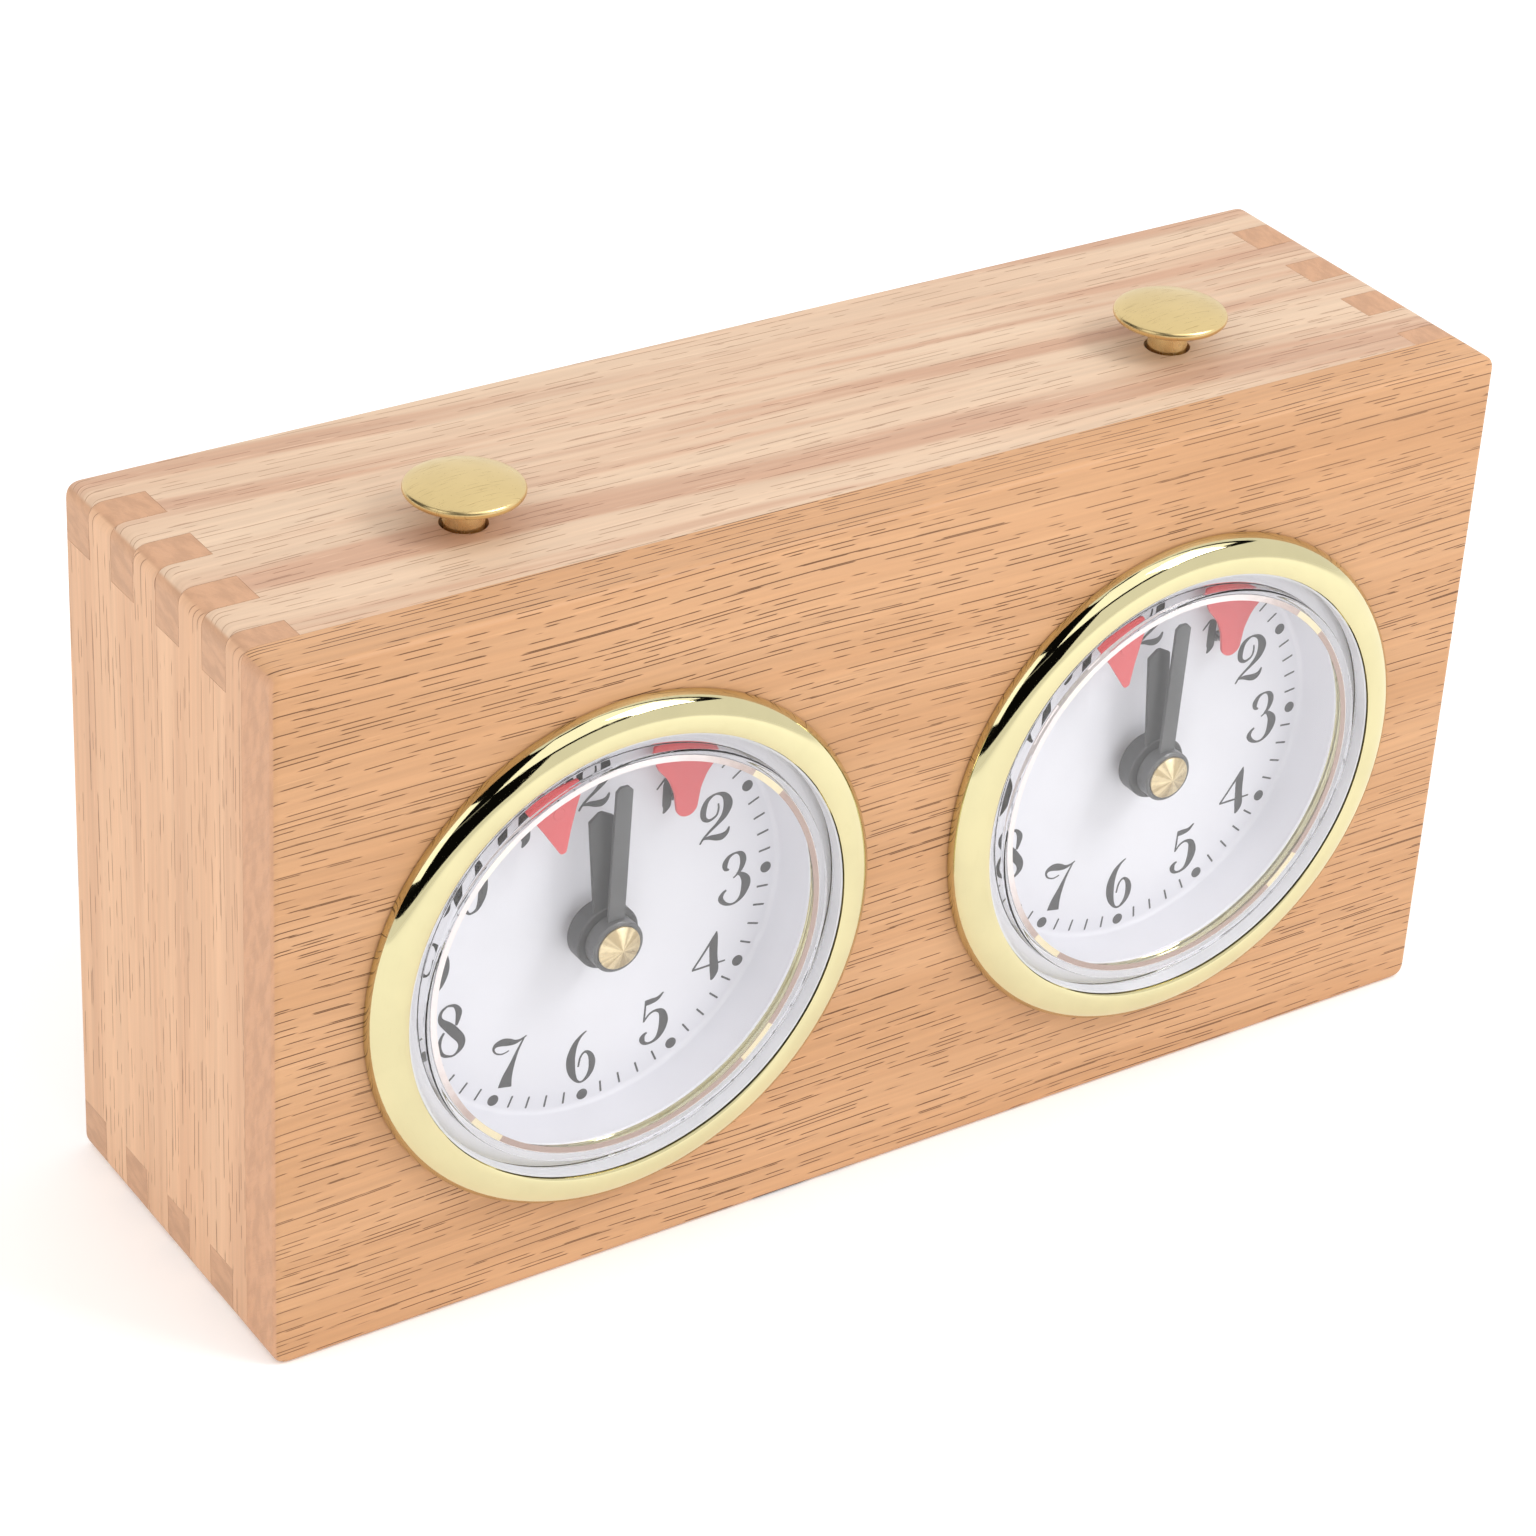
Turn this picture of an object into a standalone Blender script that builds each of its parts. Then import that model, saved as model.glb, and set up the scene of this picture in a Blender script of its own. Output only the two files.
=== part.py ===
"""Wind-up chess clock: two spring-driven dial movements in one finger-jointed wooden case.

The clock stands on its underside.  Its frame has +X to the right seen from the front, +Y towards the back
and +Z up, with the origin at the centre of the footprint.  Blender's unit is the metre; the sizes below are
in millimetres, and part() and place() scale them.  In a movement, y is the depth behind the case's front
face and (x, z) is the place in front view from the dial's centre.
"""
import math

import bmesh
import bpy
from mathutils import Matrix, Vector

MM = 0.001
GAP = 0.3                        # between pieces that rest on each other
SHARP = math.radians(32)

# Case
WIDTH, DEPTH, HEIGHT = 217.0, 64.5, 117.7
CORNER_RADIUS = 2.6              # of the four corners in front view
EDGE_RADIUS = 1.1                # around the front and the back
BOARD = 9.0                      # thickness of the front panel and of the four boards behind it
FIRST_FINGER = 4.7               # finger next to the front panel
FINGER = 7.1                     # pitch of the fingers behind it; the last one takes the rest
FINGER_COUNT = 7
SEAM = 0.1                       # each board stands back this far from a joint
TRIM = 1.0                       # boards are drawn this much too large and trimmed to the rounded case
BACK_FACE, BACK_THICKNESS = 59.0, 4.0
BATTEN_WIDTH, BATTEN_DEPTH = 7.5, 9.5
SCREW_X, SCREW_LOW_Z, SCREW_HIGH_Z = 95.0, 18.0, 99.7

# Dials, from the front outwards
DIAL_X, DIAL_Z = 51.1, 56.1
OPENING_RADIUS = 38.8
BEZEL_RADIUS = 43.2
BEZEL_PROUD, BEZEL_FOOT = 3.7, 0.7
BEZEL_CREST_RADIUS = 38.7
BEZEL_SLEEVE_END = 7.5
LENS_FACE_RADIUS, LENS_FRONT, LENS_WALL = 34.8, -3.2, 1.1
LENS_FLANGE_RADIUS, LENS_FLANGE_FRONT, LENS_FLANGE_BACK = 37.5, -0.4, 0.8
DIAL_FRONT, DIAL_BACK = 9.2, 10.0
DIAL_RADIUS, DIAL_BORE, DIAL_WALL = 33.4, 2.6, 0.8
DIAL_FLANGE = 1.1
CAP_RADIUS, CAP_CONE, CAP_SEAT = 3.6, 0.8, 1.0
HUB_RADIUS = 4.3                 # round boss of a minute hand, which carries the cap

# Movement
PLATE_RADIUS = 32.0
FRONT_PLATE = (14.0, 15.5)
REAR_PLATE = (34.0, 35.5)
PILLAR_CIRCLE, PILLAR_RADIUS = 28.5, 1.6
PILLAR_ANGLES = (45, 160, 300)
PIVOT, PIVOT_HOLE = 0.6, 0.8
ARBOR = 1.0
CENTRE_WHEEL, TRAIN_WHEEL, PINION = 24, 24, 6
GREAT_WHEEL, CANNON, MINUTE_WHEEL, HOUR_WHEEL = 30, 8, 24, 24
CENTRE_MODULE, THIRD_MODULE, GREAT_MODULE = 0.8, 0.72, 0.8
CANNON_MODULE, HOUR_MODULE = 0.5625, 0.6
ESCAPE_TEETH, ESCAPE_RADIUS, ESCAPE_ROOT = 15, 5.0, 3.8
BALANCE_AT = (0.0, 20.0)
BALANCE_RADIUS = 9.0
PALLET_AT = (14.0, 18.0)
FLAG_AT = (-9.9, 25.0)
THIRD_ANGLE, ESCAPE_ANGLE, MINUTE_WHEEL_ANGLE = 30.0, 36.0, 200.0
MINUTE_HAND_ANGLE, HOUR_HAND_ANGLE = 1.5, -4.8      # clockwise from twelve, at rest

# Rocker and buttons
ROCKER_Y, ROCKER_Z = 27.0, 98.7
BUTTON_X = 63.5
STEM_RADIUS, BUTTON_HOLE_RADIUS, HEAD_RADIUS = 3.15, 3.65, 9.0
STOP_END_Z = 87.6                # lower end of the fingers that stop a balance wheel

ROUND, FINE = 10, 28             # sides of a small round and of a dial-sized one


def clear_scene():
    for item in list(bpy.data.objects):
        bpy.data.objects.remove(item, do_unlink=True)


def finish(name, colour, roughness, metallic=0.0, alpha=1.0):
    """Principled material with one colour."""
    material = bpy.data.materials.new(name)
    material.use_nodes = True
    shader = material.node_tree.nodes["Principled BSDF"]
    shader.inputs["Base Color"].default_value = (*colour, 1.0)
    shader.inputs["Roughness"].default_value = roughness
    shader.inputs["Metallic"].default_value = metallic
    shader.inputs["Alpha"].default_value = alpha
    material.diffuse_color = (*colour, alpha)
    return material


# ---------------------------------------------------------------- outlines, as (x, z) points

def polar(radius, degrees, centre=(0.0, 0.0)):
    angle = math.radians(degrees)
    return (centre[0] + radius * math.cos(angle), centre[1] + radius * math.sin(angle))


def circle(radius, sides=ROUND, centre=(0.0, 0.0)):
    return [polar(radius, 360 * i / sides, centre) for i in range(sides)]


def rectangle(x0, x1, z0, z1):
    return [(x0, z0), (x1, z0), (x1, z1), (x0, z1)]


def sector(inner, outer, start, end, steps=2):
    """Ring segment between two radii and two angles in degrees."""
    angles = [start + (end - start) * i / steps for i in range(steps + 1)]
    return [polar(outer, a) for a in angles] + [polar(inner, a) for a in reversed(angles)]


def star(hub, arms, step=20.0):
    """Round hub with straight arms, each (degrees, length, half width, length of its pointed tip)."""
    points = []
    arms = sorted(arms)
    for index, (angle, length, half, tip) in enumerate(arms):
        root = math.degrees(math.asin(half / hub))
        shoulder = math.atan2(half, length - tip)
        reach = math.hypot(half, length - tip)
        points.append(polar(hub, angle - root))
        points.append(polar(reach, angle - math.degrees(shoulder)))
        if tip:
            points.append(polar(length, angle))
        points.append(polar(reach, angle + math.degrees(shoulder)))
        points.append(polar(hub, angle + root))
        following, *_, following_half, _ = (*arms[(index + 1) % len(arms)],)
        turn = 360 if index + 1 == len(arms) else 0
        stop = following + turn - math.degrees(math.asin(following_half / hub))
        count = max(1, round((stop - angle - root) / step))
        points += [polar(hub, angle + root + (stop - angle - root) * i / count) for i in range(1, count)]
    return points


def gear(teeth, module, phase, pinion=False):
    """Outline with straight-sided teeth; phase is the angle of the middle of one tooth, in radians."""
    addendum, root_share = (0.7, 0.5) if pinion else (0.85, 0.6)
    tip_share, dedendum = 0.2, 1.1
    pitch_radius = teeth * module / 2
    tip, root = pitch_radius + addendum * module, pitch_radius - dedendum * module
    pitch = math.tau / teeth
    points = []
    for tooth in range(teeth):
        middle = phase + tooth * pitch
        for share, radius in ((-root_share, root), (-tip_share, tip), (tip_share, tip), (root_share, root)):
            angle = middle + share * pitch / 2
            points.append((radius * math.cos(angle), radius * math.sin(angle)))
    return points


def mate_phase(phase, teeth, mate_teeth, degrees):
    """Phase of the gear that meshes, in the given direction, with a gear of the given phase."""
    direction = math.radians(degrees)
    mate_pitch = math.tau / mate_teeth
    return direction + math.pi - mate_pitch / 2 + mate_pitch * (direction - phase) * teeth / math.tau


def escape_outline():
    """Wheel with teeth that lean one way."""
    points = []
    for tooth in range(ESCAPE_TEETH):
        start = 360 * tooth / ESCAPE_TEETH
        pitch = 360 / ESCAPE_TEETH
        points += [polar(ESCAPE_RADIUS, start)]
        points += [polar(ESCAPE_ROOT, start + share * pitch) for share in (0.3, 0.8)]
    return points


def area(outline):
    return abs(sum(a[0] * b[1] - b[0] * a[1] for a, b in zip(outline, outline[1:] + outline[:1]))) / 2


# ---------------------------------------------------------------- solids

def add_loop(bm, outline, y):
    return [bm.verts.new((x, y, z)) for x, z in outline]


def add_wall(bm, near, far):
    for i, j in zip(range(len(near)), [*range(1, len(near)), 0]):
        bm.faces.new((near[i], near[j], far[j], far[i]))


def add_cap(bm, outer, holes):
    """Flat face inside one loop and outside the others."""
    if not holes:
        bm.faces.new(outer)
        return
    edges = []
    for loop in (outer, *holes):
        for pair in zip(loop, loop[1:] + loop[:1]):
            edges.append(bm.edges.get(pair) or bm.edges.new(pair))
    bmesh.ops.triangle_fill(bm, edges=edges, use_beauty=True)


def stack(start, sections, bore=None):
    """One solid from flat sections along Y, each (outline, end) or (outline, end, windows).

    Of two neighbours, one outline lies inside the other.  Windows go through their own section only, and
    the bore goes through all of them.
    """
    bm = bmesh.new()
    layers = []
    y = start
    for outline, end, *windows in sections:
        near, far = add_loop(bm, outline, y), add_loop(bm, outline, end)
        add_wall(bm, near, far)
        cuts = [(add_loop(bm, w, y), add_loop(bm, w, end)) for w in (windows[0] if windows else ())]
        for cut in cuts:
            add_wall(bm, *cut)
        layers.append((area(outline), near, far, cuts))
        y = end
    ends = ((), ())
    if bore:
        ends = (add_loop(bm, bore, start),), (add_loop(bm, bore, y),)
        add_wall(bm, ends[0][0], ends[1][0])
    _, near, _, cuts = layers[0]
    add_cap(bm, near, [cut[0] for cut in cuts] + list(ends[0]))
    _, _, far, cuts = layers[-1]
    add_cap(bm, far, [cut[1] for cut in cuts] + list(ends[1]))
    for (size, _, far, cuts), (next_size, near, _, next_cuts) in zip(layers, layers[1:]):
        if size > next_size:
            add_cap(bm, far, [near] + [cut[1] for cut in cuts])
        else:
            add_cap(bm, near, [far] + [cut[0] for cut in next_cuts])
    return bm


def turned(profile, sides):
    """Solid of revolution about Y from (radius, y) points; it closes on the axis or on itself."""
    bm = bmesh.new()
    rings = []
    for radius, y in profile:
        rings.append(add_loop(bm, circle(radius, sides), y) if radius else [bm.verts.new((0, y, 0))])
    pairs = list(zip(rings, rings[1:]))
    if len(rings[0]) > 1:
        pairs.append((rings[-1], rings[0]))
    for a, b in pairs:
        for i in range(sides):
            j = (i + 1) % sides
            corners = (a[i % len(a)], a[j % len(a)], b[j % len(b)], b[i % len(b)])
            bm.faces.new(list(dict.fromkeys(corners)))
    return bm


def turn_solid(bm, degrees, axis):
    rotation = Matrix.Rotation(math.radians(degrees), 3, axis)
    bmesh.ops.rotate(bm, verts=bm.verts, cent=(0, 0, 0), matrix=rotation)
    return bm


def to_mesh(name, bm, material):
    """Mesh in metres, smooth where it is round."""
    bmesh.ops.recalc_face_normals(bm, faces=bm.faces)
    bmesh.ops.scale(bm, vec=(MM, MM, MM), verts=bm.verts)
    mesh = bpy.data.meshes.new(name)
    bm.to_mesh(mesh)
    bm.free()
    mesh.shade_smooth()
    mesh.set_sharp_from_angle(angle=SHARP)
    if material:
        mesh.materials.append(material)
    return mesh


def place(name, mesh, at):
    item = bpy.data.objects.new(name, mesh)
    item.location = Vector(at) * MM
    bpy.context.scene.collection.objects.link(item)
    return item


def part(name, bm, material, at=(0.0, 0.0, 0.0)):
    return place(name, to_mesh(name, bm, material), at)


def tool(name, bm, at=(0.0, 0.0, 0.0)):
    """Shape that only cuts or joins other pieces."""
    item = part(name, bm, None, at)
    item.hide_render = True
    item.display_type = "WIRE"
    return item


def apply_tool(item, shape, operation):
    modifier = item.modifiers.new(shape.name, "BOOLEAN")
    modifier.operation = operation
    modifier.object = shape
    modifier.solver = "EXACT"


def front(x=0.0, z=0.0):
    """Origin on the case's front face, from which depths are counted."""
    return (x, -DEPTH / 2, z)


def both_sides(name, bm, material, at=(0.0, 0.0)):
    """The same piece in the left and the right movement; at is from the dial's centre."""
    mesh = to_mesh(name, bm, material)
    items = []
    for side, dial_x in (("left", -DIAL_X), ("right", DIAL_X)):
        items.append(place(f"{side}_{name}", mesh, front(dial_x + at[0], DIAL_Z + at[1])))
    return items


# ---------------------------------------------------------------- case

def finger_edges():
    """Depths at which the fingers of the corner joints start and end."""
    edges = [BOARD] + [BOARD + FIRST_FINGER + FINGER * i for i in range(FINGER_COUNT)]
    return edges + [DEPTH + TRIM]


def finger_outline(length, own_first):
    """Board outline as (along, depth) points, with fingers at both ends."""
    edges = finger_edges()
    reach, root = length / 2 + TRIM, length / 2 - BOARD - SEAM
    side = []
    for index, (low, high) in enumerate(zip(edges, edges[1:])):
        own = (index % 2 == 0) == own_first
        back_off = SEAM if own else -SEAM
        first, last = index == 0, index == len(edges) - 2
        start = low + (GAP if first else back_off)
        end = high if last else high - back_off
        side += [(reach if own else root, start), (reach if own else root, end)]
    return side + [(-along, depth) for along, depth in reversed(side)]


def rounded_case():
    """Tool with the outer shape of the case."""
    bm = bmesh.new()
    bmesh.ops.create_cube(bm, size=1.0)
    bmesh.ops.scale(bm, vec=(WIDTH, DEPTH, HEIGHT), verts=bm.verts)
    for radius, segments, lengthwise in ((CORNER_RADIUS, 3, True), (EDGE_RADIUS, 2, False)):
        edges = [e for e in bm.edges if (abs(e.verts[0].co.y - e.verts[1].co.y) > DEPTH / 2) == lengthwise]
        edges = [e for e in edges if e.calc_face_angle(0.0) > SHARP]
        bmesh.ops.bevel(bm, geom=edges, offset=radius, segments=segments, profile=0.5, affect="EDGES",
                        clamp_overlap=True)
    return tool("rounded_case", bm, (0.0, 0.0, HEIGHT / 2))


def make_boards(wood, block):
    for name, z0, z1 in (("top_board", HEIGHT - BOARD, HEIGHT + TRIM), ("bottom_board", -TRIM, BOARD)):
        outline = finger_outline(WIDTH, own_first=False)
        holes = []
        if name == "top_board":
            holes = [circle(BUTTON_HOLE_RADIUS, 16, (x, ROCKER_Y)) for x in (-BUTTON_X, BUTTON_X)]
        board = turn_solid(stack(-z1, [(outline, -z0, holes)]), -90, "X")
        apply_tool(part(name, board, wood, front()), block, "INTERSECT")
    for name, x0, x1 in (("left_side_board", -WIDTH / 2 - TRIM, -WIDTH / 2 + BOARD),
                         ("right_side_board", WIDTH / 2 - BOARD, WIDTH / 2 + TRIM)):
        outline = [(depth, along) for along, depth in finger_outline(HEIGHT, own_first=True)]
        board = turn_solid(stack(-x1, [(outline, -x0)]), 90, "Z")
        apply_tool(part(name, board, wood, front(0.0, HEIGHT / 2)), block, "INTERSECT")


def make_panels(wood, plywood, block):
    openings = [circle(OPENING_RADIUS, FINE, (x, DIAL_Z)) for x in (-DIAL_X, DIAL_X)]
    outline = rectangle(-WIDTH / 2 - TRIM, WIDTH / 2 + TRIM, -TRIM, HEIGHT + TRIM)
    panel = part("front_panel", stack(-TRIM, [(outline, BOARD, openings)]), wood, front())
    apply_tool(panel, block, "INTERSECT")

    inner_x, inner_z = WIDTH / 2 - BOARD - GAP, BOARD + GAP
    holes = [circle(1.5, 8, (x, z)) for x in (-SCREW_X, SCREW_X) for z in (SCREW_LOW_Z, SCREW_HIGH_Z)]
    holes += [circle(1.7, ROUND, (x, DIAL_Z)) for x in (-DIAL_X, DIAL_X)]
    holes += [circle(2.4, ROUND, (x, DIAL_Z - barrel_distance())) for x in (-DIAL_X, DIAL_X)]
    outline = rectangle(-inner_x, inner_x, inner_z, HEIGHT - inner_z)
    part("back_panel", stack(BACK_FACE, [(outline, BACK_FACE + BACK_THICKNESS, holes)]), plywood, front())


def make_battens(wood, steel):
    """Wooden strips glued to the side boards, and the screws that hold the back panel to them."""
    end = BACK_FACE - GAP
    low, high = BOARD + GAP, HEIGHT - BOARD - GAP
    for side, sign in (("left", -1), ("right", 1)):
        outer = sign * (WIDTH / 2 - BOARD - GAP)
        inner = outer - sign * BATTEN_WIDTH
        outline = rectangle(min(outer, inner), max(outer, inner), low, high)
        holes = [circle(1.5, 8, (sign * SCREW_X, z)) for z in (SCREW_LOW_Z, SCREW_HIGH_Z)]
        part(f"{side}_batten", stack(end - BATTEN_DEPTH, [(outline, end, holes)]), wood, front())
        for level, z in (("lower", SCREW_LOW_Z), ("upper", SCREW_HIGH_Z)):
            face = BACK_FACE + BACK_THICKNESS + GAP / 3
            profile = [(0, 53.0), (1.2, 54.5), (1.2, face), (2.9, face), (2.6, face + 0.9), (0, face + 1.4)]
            part(f"{level}_{side}_screw", turned(profile, 10), steel, front(sign * SCREW_X, z))


# ---------------------------------------------------------------- rocker and buttons

def make_rocker(brass, steel):
    bar_low, bar_high, reach = -2.0, 2.2, BUTTON_X + 5.0
    stop_low, stop_half = STOP_END_Z - ROCKER_Z, 1.0
    pin_radius = 1.4

    def half(sign):
        """Outline of one arm from the hub outwards, seen from the front, for x of the given sign."""
        points = [(5.0, bar_low), (DIAL_X - stop_half, bar_low), (DIAL_X - stop_half, stop_low)]
        points += [(DIAL_X + stop_half, stop_low), (DIAL_X + stop_half, bar_low), (reach, bar_low)]
        points += [(reach, bar_high), (5.0, bar_high)]
        return [(sign * x, z) for x, z in points]

    outline = half(1) + [polar(5.4, 90)] + half(-1)[::-1] + [polar(5.4, -90)]
    pin_hole = circle(pin_radius + 0.2)
    lever = stack(ROCKER_Y - 1.0, [(outline, ROCKER_Y + 1.0, [pin_hole])])
    part("rocker_lever", lever, brass, front(0.0, ROCKER_Z))

    ear = rectangle(-7.5, 7.5, -6.0, HEIGHT - BOARD - GAP - ROCKER_Z)
    strap = rectangle(-7.0, 7.0, 7.9, HEIGHT - BOARD - GAP - ROCKER_Z - 0.2)
    near, inner = ROCKER_Y - 4.5, ROCKER_Y - 2.5
    far, outer = ROCKER_Y + 2.5, ROCKER_Y + 4.5
    sections = [(ear, inner, [pin_hole]), (strap, far), (ear, outer, [pin_hole])]
    part("rocker_bracket", stack(near, sections), steel, front(0.0, ROCKER_Z))
    pin = stack(near - 1.0, [(circle(2.4), near - 0.2), (circle(pin_radius), outer + 1.0)])
    part("rocker_pin", pin, steel, front(0.0, ROCKER_Z))


def make_buttons(brass):
    stem_end = ROCKER_Z + 2.2 + GAP - HEIGHT
    head = [(HEAD_RADIUS - 0.5, 4.8), (HEAD_RADIUS, 5.4), (HEAD_RADIUS, 6.0), (HEAD_RADIUS - 0.5, 6.5)]
    head += [(5.4, 7.2), (0, 7.5)]
    profile = [(0, stem_end), (STEM_RADIUS, stem_end), (STEM_RADIUS, 3.0), (4.4, 4.3)] + head
    mesh = to_mesh("button", turn_solid(turned(profile, 24), 90, "X"), brass)
    for side, x in (("left", -BUTTON_X), ("right", BUTTON_X)):
        place(f"{side}_button", mesh, (x, ROCKER_Y - DEPTH / 2, HEIGHT))


# ---------------------------------------------------------------- dials and hands

def make_dial_fronts(gold, clear, white):
    inner, crest, foot = LENS_FLANGE_RADIUS, BEZEL_CREST_RADIUS, -GAP / 3
    flank = [polar(1.0, 15 * i) for i in range(7)]
    flank = [(crest + (BEZEL_RADIUS - crest) * x, -BEZEL_FOOT - (BEZEL_PROUD - BEZEL_FOOT) * y) for x, y in flank]
    sleeve_outer, sleeve_inner = OPENING_RADIUS - GAP, LENS_FLANGE_RADIUS + GAP
    bezel = [(BEZEL_RADIUS, foot)] + flank + [(inner + 0.3, 0.4 - BEZEL_PROUD), (inner, 1.0 - BEZEL_PROUD)]
    bezel += [(inner, -1.1), (inner - GAP, -BEZEL_FOOT), (sleeve_inner, -BEZEL_FOOT)]
    bezel += [(sleeve_inner, BEZEL_SLEEVE_END), (sleeve_outer, BEZEL_SLEEVE_END), (sleeve_outer, foot)]
    both_sides("bezel", turned(bezel, FINE), gold)

    face, bore, back = LENS_FACE_RADIUS, LENS_FACE_RADIUS - LENS_WALL, LENS_FRONT + LENS_WALL
    lens = [(0, LENS_FRONT), (face - 0.5, LENS_FRONT), (face, LENS_FRONT + 0.5), (face, LENS_FLANGE_FRONT)]
    lens += [(LENS_FLANGE_RADIUS, LENS_FLANGE_FRONT), (LENS_FLANGE_RADIUS, LENS_FLANGE_BACK)]
    lens += [(bore, LENS_FLANGE_BACK), (bore, back)]
    both_sides("lens", turned(lens + [(0, back)], FINE), clear)

    rim, outer = DIAL_RADIUS + 0.5, DIAL_FLANGE + DIAL_WALL
    dial = [(DIAL_BORE, DIAL_FRONT), (DIAL_RADIUS, DIAL_FRONT), (rim, DIAL_FLANGE)]
    dial += [(LENS_FLANGE_RADIUS, DIAL_FLANGE), (LENS_FLANGE_RADIUS, outer), (rim + DIAL_WALL, outer)]
    dial += [(DIAL_RADIUS + DIAL_WALL, DIAL_BACK), (DIAL_BORE, DIAL_BACK)]
    for item in both_sides("dial", turned(dial, FINE), white):
        for name, place_at in (("flag", FLAG_AT), ("pallet", PALLET_AT)):
            drill = stack(DIAL_FRONT - 1.0, [(circle(1.0, 8), DIAL_BACK + 1.0)])
            at = Vector(item.location) / MM + Vector((place_at[0], 0.0, place_at[1]))
            apply_tool(item, tool(f"{item.name}_{name}_drill", drill, at), "DIFFERENCE")


def make_hands(black, brass, red):
    seat = CAP_SEAT
    minute = star(4.8, [(90 - MINUTE_HAND_ANGLE, 27.0, 1.4, 0.9)])
    minute = stack(seat, [(circle(HUB_RADIUS, 16), 2.0), (minute, 2.6)], circle(1.4))
    both_sides("minute_hand", minute, black)
    hour = star(5.4, [(90 - HOUR_HAND_ANGLE, 22.2, 2.05, 1.3)])
    both_sides("hour_hand", stack(4.2, [(hour, 4.8)], circle(2.3)), black)
    cap = [(0, -0.3), (CAP_RADIUS - 0.2, -0.3 + CAP_CONE), (CAP_RADIUS, CAP_CONE), (CAP_RADIUS, seat - 0.1)]
    both_sides("hand_cap", turned(cap + [(0, seat - 0.1)], 16), brass)

    flag = [(-5.2, 1.2), (-4.2, 2.9), (3.4, 4.4), (3.9, 3.6), (2.9, 0.1), (2.1, -3.4), (1.5, -6.9)]
    flag += [(0.6, -7.2), (-2.7, -2.2)]
    both_sides("fall_flag", stack(2.9, [(flag, 3.3), (circle(PIVOT, 8), 15.2)]), red, FLAG_AT)
    bell = [polar(1.9, angle) for angle in (180, 216, 252, 288, 324, 360)]
    bell += [(2.3, 2.6), (3.4, 5.2), (5.4, 7.2), (-5.4, 7.6), (-3.4, 5.2), (-2.3, 2.6)]
    indicator = stack(5.8, [(bell, 6.2)], circle(PIVOT + 0.1, 8))
    both_sides("running_indicator", indicator, red, PALLET_AT)


# ---------------------------------------------------------------- movements

def barrel_distance():
    return (GREAT_WHEEL + PINION) * GREAT_MODULE / 2


def third_at():
    return polar((CENTRE_WHEEL + PINION) * CENTRE_MODULE / 2, THIRD_ANGLE)


def escape_at():
    return polar((TRAIN_WHEEL + PINION) * THIRD_MODULE / 2, ESCAPE_ANGLE, third_at())


def minute_wheel_at():
    return polar((CANNON + MINUTE_WHEEL) * CANNON_MODULE / 2, MINUTE_WHEEL_ANGLE)


def arbor(name, material, at, middle):
    """Wheel, pinion or lever on an arbor that runs between the two plates."""
    pivot, shaft = circle(PIVOT, 8), circle(ARBOR, 10)
    sections = [(pivot, FRONT_PLATE[1] + 0.4)]
    for outline, low, high, *windows in middle:
        sections += [(shaft, low), (outline, high, *windows)]
    sections += [(shaft, REAR_PLATE[0] - 0.4), (pivot, REAR_PLATE[1] - 0.3)]
    return both_sides(name, stack(FRONT_PLATE[0] + 0.3, sections), material, at)


def make_plates(brass):
    bearings = [third_at(), escape_at(), BALANCE_AT, PALLET_AT]
    small = [circle(PIVOT_HOLE, 8, at) for at in bearings]
    barrel = (0.0, -barrel_distance())
    outline = circle(PLATE_RADIUS, FINE)
    holes = small + [circle(1.05), circle(PIVOT_HOLE, 8, FLAG_AT), circle(PIVOT_HOLE, 8, barrel)]
    posts = [polar(PILLAR_CIRCLE, angle) for angle in PILLAR_ANGLES]
    front_plate = stack(FRONT_PLATE[0], [(outline, FRONT_PLATE[1], holes)])
    for plate in both_sides("movement_front_plate", front_plate, brass):
        for index, at in enumerate([*posts, minute_wheel_at()]):
            stud = index == len(posts)
            radius, low, high = (PIVOT, 10.8, 14.7) if stud else (PILLAR_RADIUS, 10.3, REAR_PLATE[0] - GAP)
            pillar = stack(low, [(circle(radius, 8), high)])
            where = Vector(plate.location) / MM + Vector((at[0], 0.0, at[1]))
            apply_tool(plate, tool(f"{plate.name}_pillar_{index}", pillar, where), "UNION")
    holes = small + [circle(ARBOR + 0.15), circle(1.7, ROUND, barrel)]
    both_sides("movement_rear_plate", stack(REAR_PLATE[0], [(outline, REAR_PLATE[1], holes)]), brass)


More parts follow.
